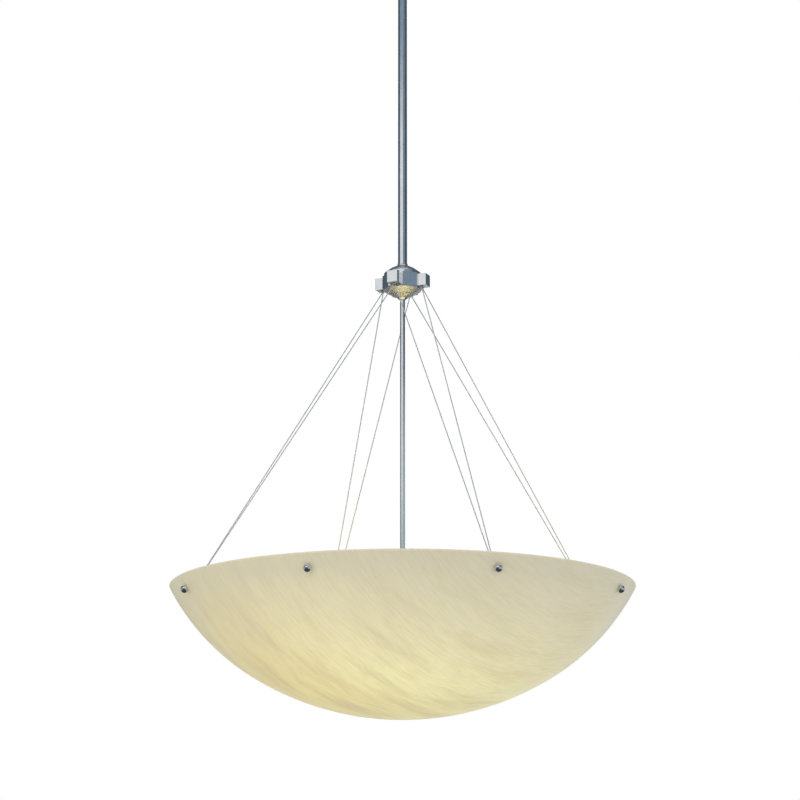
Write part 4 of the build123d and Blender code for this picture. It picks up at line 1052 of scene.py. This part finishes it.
lamp_place = facing(arm_end, lamp_direction, sideways(0))
socket_place = lamp_place @ Matrix.Translation((0, 0, -SOCKET_GRIP))
at_sockets = {"place": socket_place, "copies": (LAMP_COUNT, 0.0)}
socket_section = in_mm(
    (0, 10), (5.05, 10), (5.05, 0), (12, 0), (12, 12), (20, 17), (20, 24), (19.3, 24.6), (19.3, 26.4),
    (20, 27), (20, 50), (13.6, 50), (13.6, 22), (0, 22))
lathe_work("porcelain_sockets", socket_section, 0.8, porcelain, "porcelain", "lamp_sockets", segments=72,
           **at_sockets)

lining_section = in_mm((13.35, 22.6), (13.55, 22.6), (13.55, 46), (13.35, 46), (13.35, 22.6))
lathe_work("socket_screw_shells", lining_section, 0, polished_nickel, "polished_nickel", segments=48,
           **at_sockets)
print(LAMP_COUNT, "sockets")

# %% [markdown]
# ## Lamps
# Six globe lamps with frosted glass and a nickel-plated screw base, each on its own body, because a lamp
# can be unscrewed. The thread's depth follows the height and the angle together. A weak warm light stands
# in each glass, so that the bowl glows a little from inside.

# %% Lamps
LAMP_SEAT = 12.5 * MM
GLASS_MIDDLE = 80 * MM
GLASS_RADIUS = 30 * MM
LAMP_GLOW_WATTS = 0.7
GLOW_RADIUS = 25 * MM
LAMP_THREAD = (13.1 * MM, 7 * MM, 23.5 * MM, 3.63 * MM, 0.9 * MM)

glass_section = in_mm(
    (0, 24), (12, 24), (13, 27.6), (15, 30.5), (15.9, 37), (17.3, 45), (20, 55), (23.4, 62.2))
glass_section += arc(GLASS_RADIUS, GLASS_MIDDLE, radians(-25), pi / 2, 32)
base_section = in_mm((0, 5), (9.5, 4.2), (11.8, 5), (12.9, 6.5))
base_section += thread_rows(*LAMP_THREAD[:4])
base_section += in_mm((12.5, 24.2), (12.5, 25.4), (13.1, 26), (13.1, 27.5), (0, 27.5))
foot_section = in_mm((0, 1), (5.4, 1), (7.2, 2.2), (9.6, 4.4), (0, 4.4))
tip_section = in_mm((0, 0), (2.5, 0.15), (4.4, 0.6), (5.0, 1.3), (0, 1.3))

for k in range(LAMP_COUNT):
    turn = Matrix.Rotation(k * 2 * pi / LAMP_COUNT, 4, "Z")
    place = turn @ lamp_place @ Matrix.Translation((0, 0, LAMP_SEAT))
    on_lamp = {"body": f"lamp_body_{k + 1}", "place": place}
    glass = lathe_work(f"frosted_globe_{k + 1}", glass_section, 0, frosted_glass, "frosted_glass",
                       f"lamp_{k + 1}", segments=64, **on_lamp)
    glass.visible_shadow = False
    glass.visible_glossy = False
    lathe_work(f"lamp_screw_base_{k + 1}", base_section, 0, polished_nickel, "polished_nickel", segments=48,
               thread=LAMP_THREAD, **on_lamp)
    lathe_work(f"lamp_insulator_{k + 1}", foot_section, 0.4, black_glass, "porcelain", segments=32,
               **on_lamp)
    lathe_work(f"lamp_contact_{k + 1}", tip_section, 0, solder, "zinc_plated_steel", segments=24, **on_lamp)
    glow = bpy.data.lights.new(f"lamp_glow_{k + 1}", "POINT")
    glow.energy = LAMP_GLOW_WATTS
    glow.color = linear("#FFF0C4")[:3]
    glow.shadow_soft_size = GLOW_RADIUS
    glow_place = bpy.data.objects.new(f"lamp_glow_{k + 1}", glow)
    glow_place.location = place @ Vector((0, 0, GLASS_MIDDLE))
    glow_place.visible_glossy = False
    scene.collection.objects.link(glow_place)
print(LAMP_COUNT, "lamps")

# %% [markdown]
# ## Canopy
# The canopy is a spun steel cup, plated and brushed on the lathe. It covers the ceiling box, and two
# polished ball nuts hold it up on threaded studs.

# %% Canopy
# These five are in millimetres, as the section is.
CANOPY_RADIUS = 76.2
CANOPY_DEPTH = 38.0
CANOPY_WALL = 1.5
CANOPY_SHOULDER = 24.0
CANOPY_NUT_RADIUS, CANOPY_NUT_SEAT = 8.0, 5.0
STUD_OUT = 34 * MM
STUD_THREAD = (2.5 * MM, -44.9 * MM, -0.3 * MM, 0.8 * MM, 0.35 * MM)


def canopy_curve(inset):
    """The spun shoulder between side and bottom, in millimetres."""
    return arc(CANOPY_SHOULDER - inset, CANOPY_SHOULDER - CANOPY_DEPTH, 0, -pi / 2, 12,
               CANOPY_RADIUS - CANOPY_SHOULDER)


canopy_section = [(CANOPY_RADIUS, 0), *canopy_curve(0), (17.5, -CANOPY_DEPTH)]
canopy_section += [(17.5, -CANOPY_DEPTH + CANOPY_WALL), *reversed(canopy_curve(CANOPY_WALL))]
canopy_section += [(CANOPY_RADIUS - CANOPY_WALL, 0), (CANOPY_RADIUS, 0)]
lathe_work("spun_canopy", in_mm(*canopy_section), 0.5, turned_nickel, "satin_nickel", "canopy",
           body="ceiling_mount", segments=128)

stud_place = Matrix.Translation(spot(0, STUD_OUT, 0))
both_studs = {"body": "ceiling_mount", "place": stud_place, "copies": (2, pi / 2)}
stud_section = [(0, -45 * MM), *thread_rows(*STUD_THREAD[:4]), (0, -0.2 * MM)]
lathe_work("threaded_canopy_studs", stud_section, 0, zinc_plate, "zinc_plated_steel", "canopy_studs",
           segments=16, thread=STUD_THREAD, **both_studs)

nut_middle = sqrt(CANOPY_NUT_RADIUS**2 - CANOPY_NUT_SEAT**2)
canopy_nut_section = [(0, -CANOPY_DEPTH), (CANOPY_NUT_SEAT - 0.4, -CANOPY_DEPTH)]
canopy_nut_section += arc(CANOPY_NUT_RADIUS, -CANOPY_DEPTH - nut_middle, atan2(nut_middle, CANOPY_NUT_SEAT),
                          -pi / 2, 32)
lathe_work("polished_canopy_nuts", in_mm(*canopy_nut_section), 0, polished_nickel, "polished_nickel",
           "canopy_nuts", segments=48, **both_studs)
print("canopy done")

# %% [markdown]
# ## Crossbar and swivel
# Under the ceiling a zinc-plated strap is screwed to the box. A yoke turns on the hollow nipple below it,
# and the head of the stem tilts in the yoke, so the lamp hangs plumb from a sloped ceiling too.

# %% Crossbar and swivel
bench_work("pressed_crossbar", "crossbar", 0.4, zinc_plate, "zinc_plated_steel", "ceiling_mount")
bench_work("milled_swivel_yoke", "swivel_yoke", 0.4, zinc_plate, "zinc_plated_steel", "swivel")
bench_work("trunnion_screws_turned", "trunnion_screws", 0.3, zinc_plate, "zinc_plated_steel", "swivel")
bench_work("milled_stem_head", "stem_head", 0.5, milled_nickel, "satin_nickel")

flange_low_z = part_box("swivel_nipple")[0].z
NIPPLE_THREAD = (6.4 * MM, flange_low_z + 3.6 * MM, -0.3 * MM, 1.4 * MM, 0.5 * MM)
nipple_section = [(4 * MM, flange_low_z), (9 * MM, flange_low_z), (9 * MM, flange_low_z + 3.5 * MM)]
nipple_section += thread_rows(*NIPPLE_THREAD[:4])
nipple_section += [(6 * MM, -0.2 * MM), (4 * MM, -0.2 * MM), (4 * MM, flange_low_z)]
lathe_work("threaded_swivel_nipple", nipple_section, 0, zinc_plate, "zinc_plated_steel", "swivel_nipple",
           body="ceiling_mount", segments=48, thread=NIPPLE_THREAD)
dress(zinc_plate, "stop_pin", "swivel_lock_nut")
dress(green_passivate, "ground_screw")
print("swivel done")
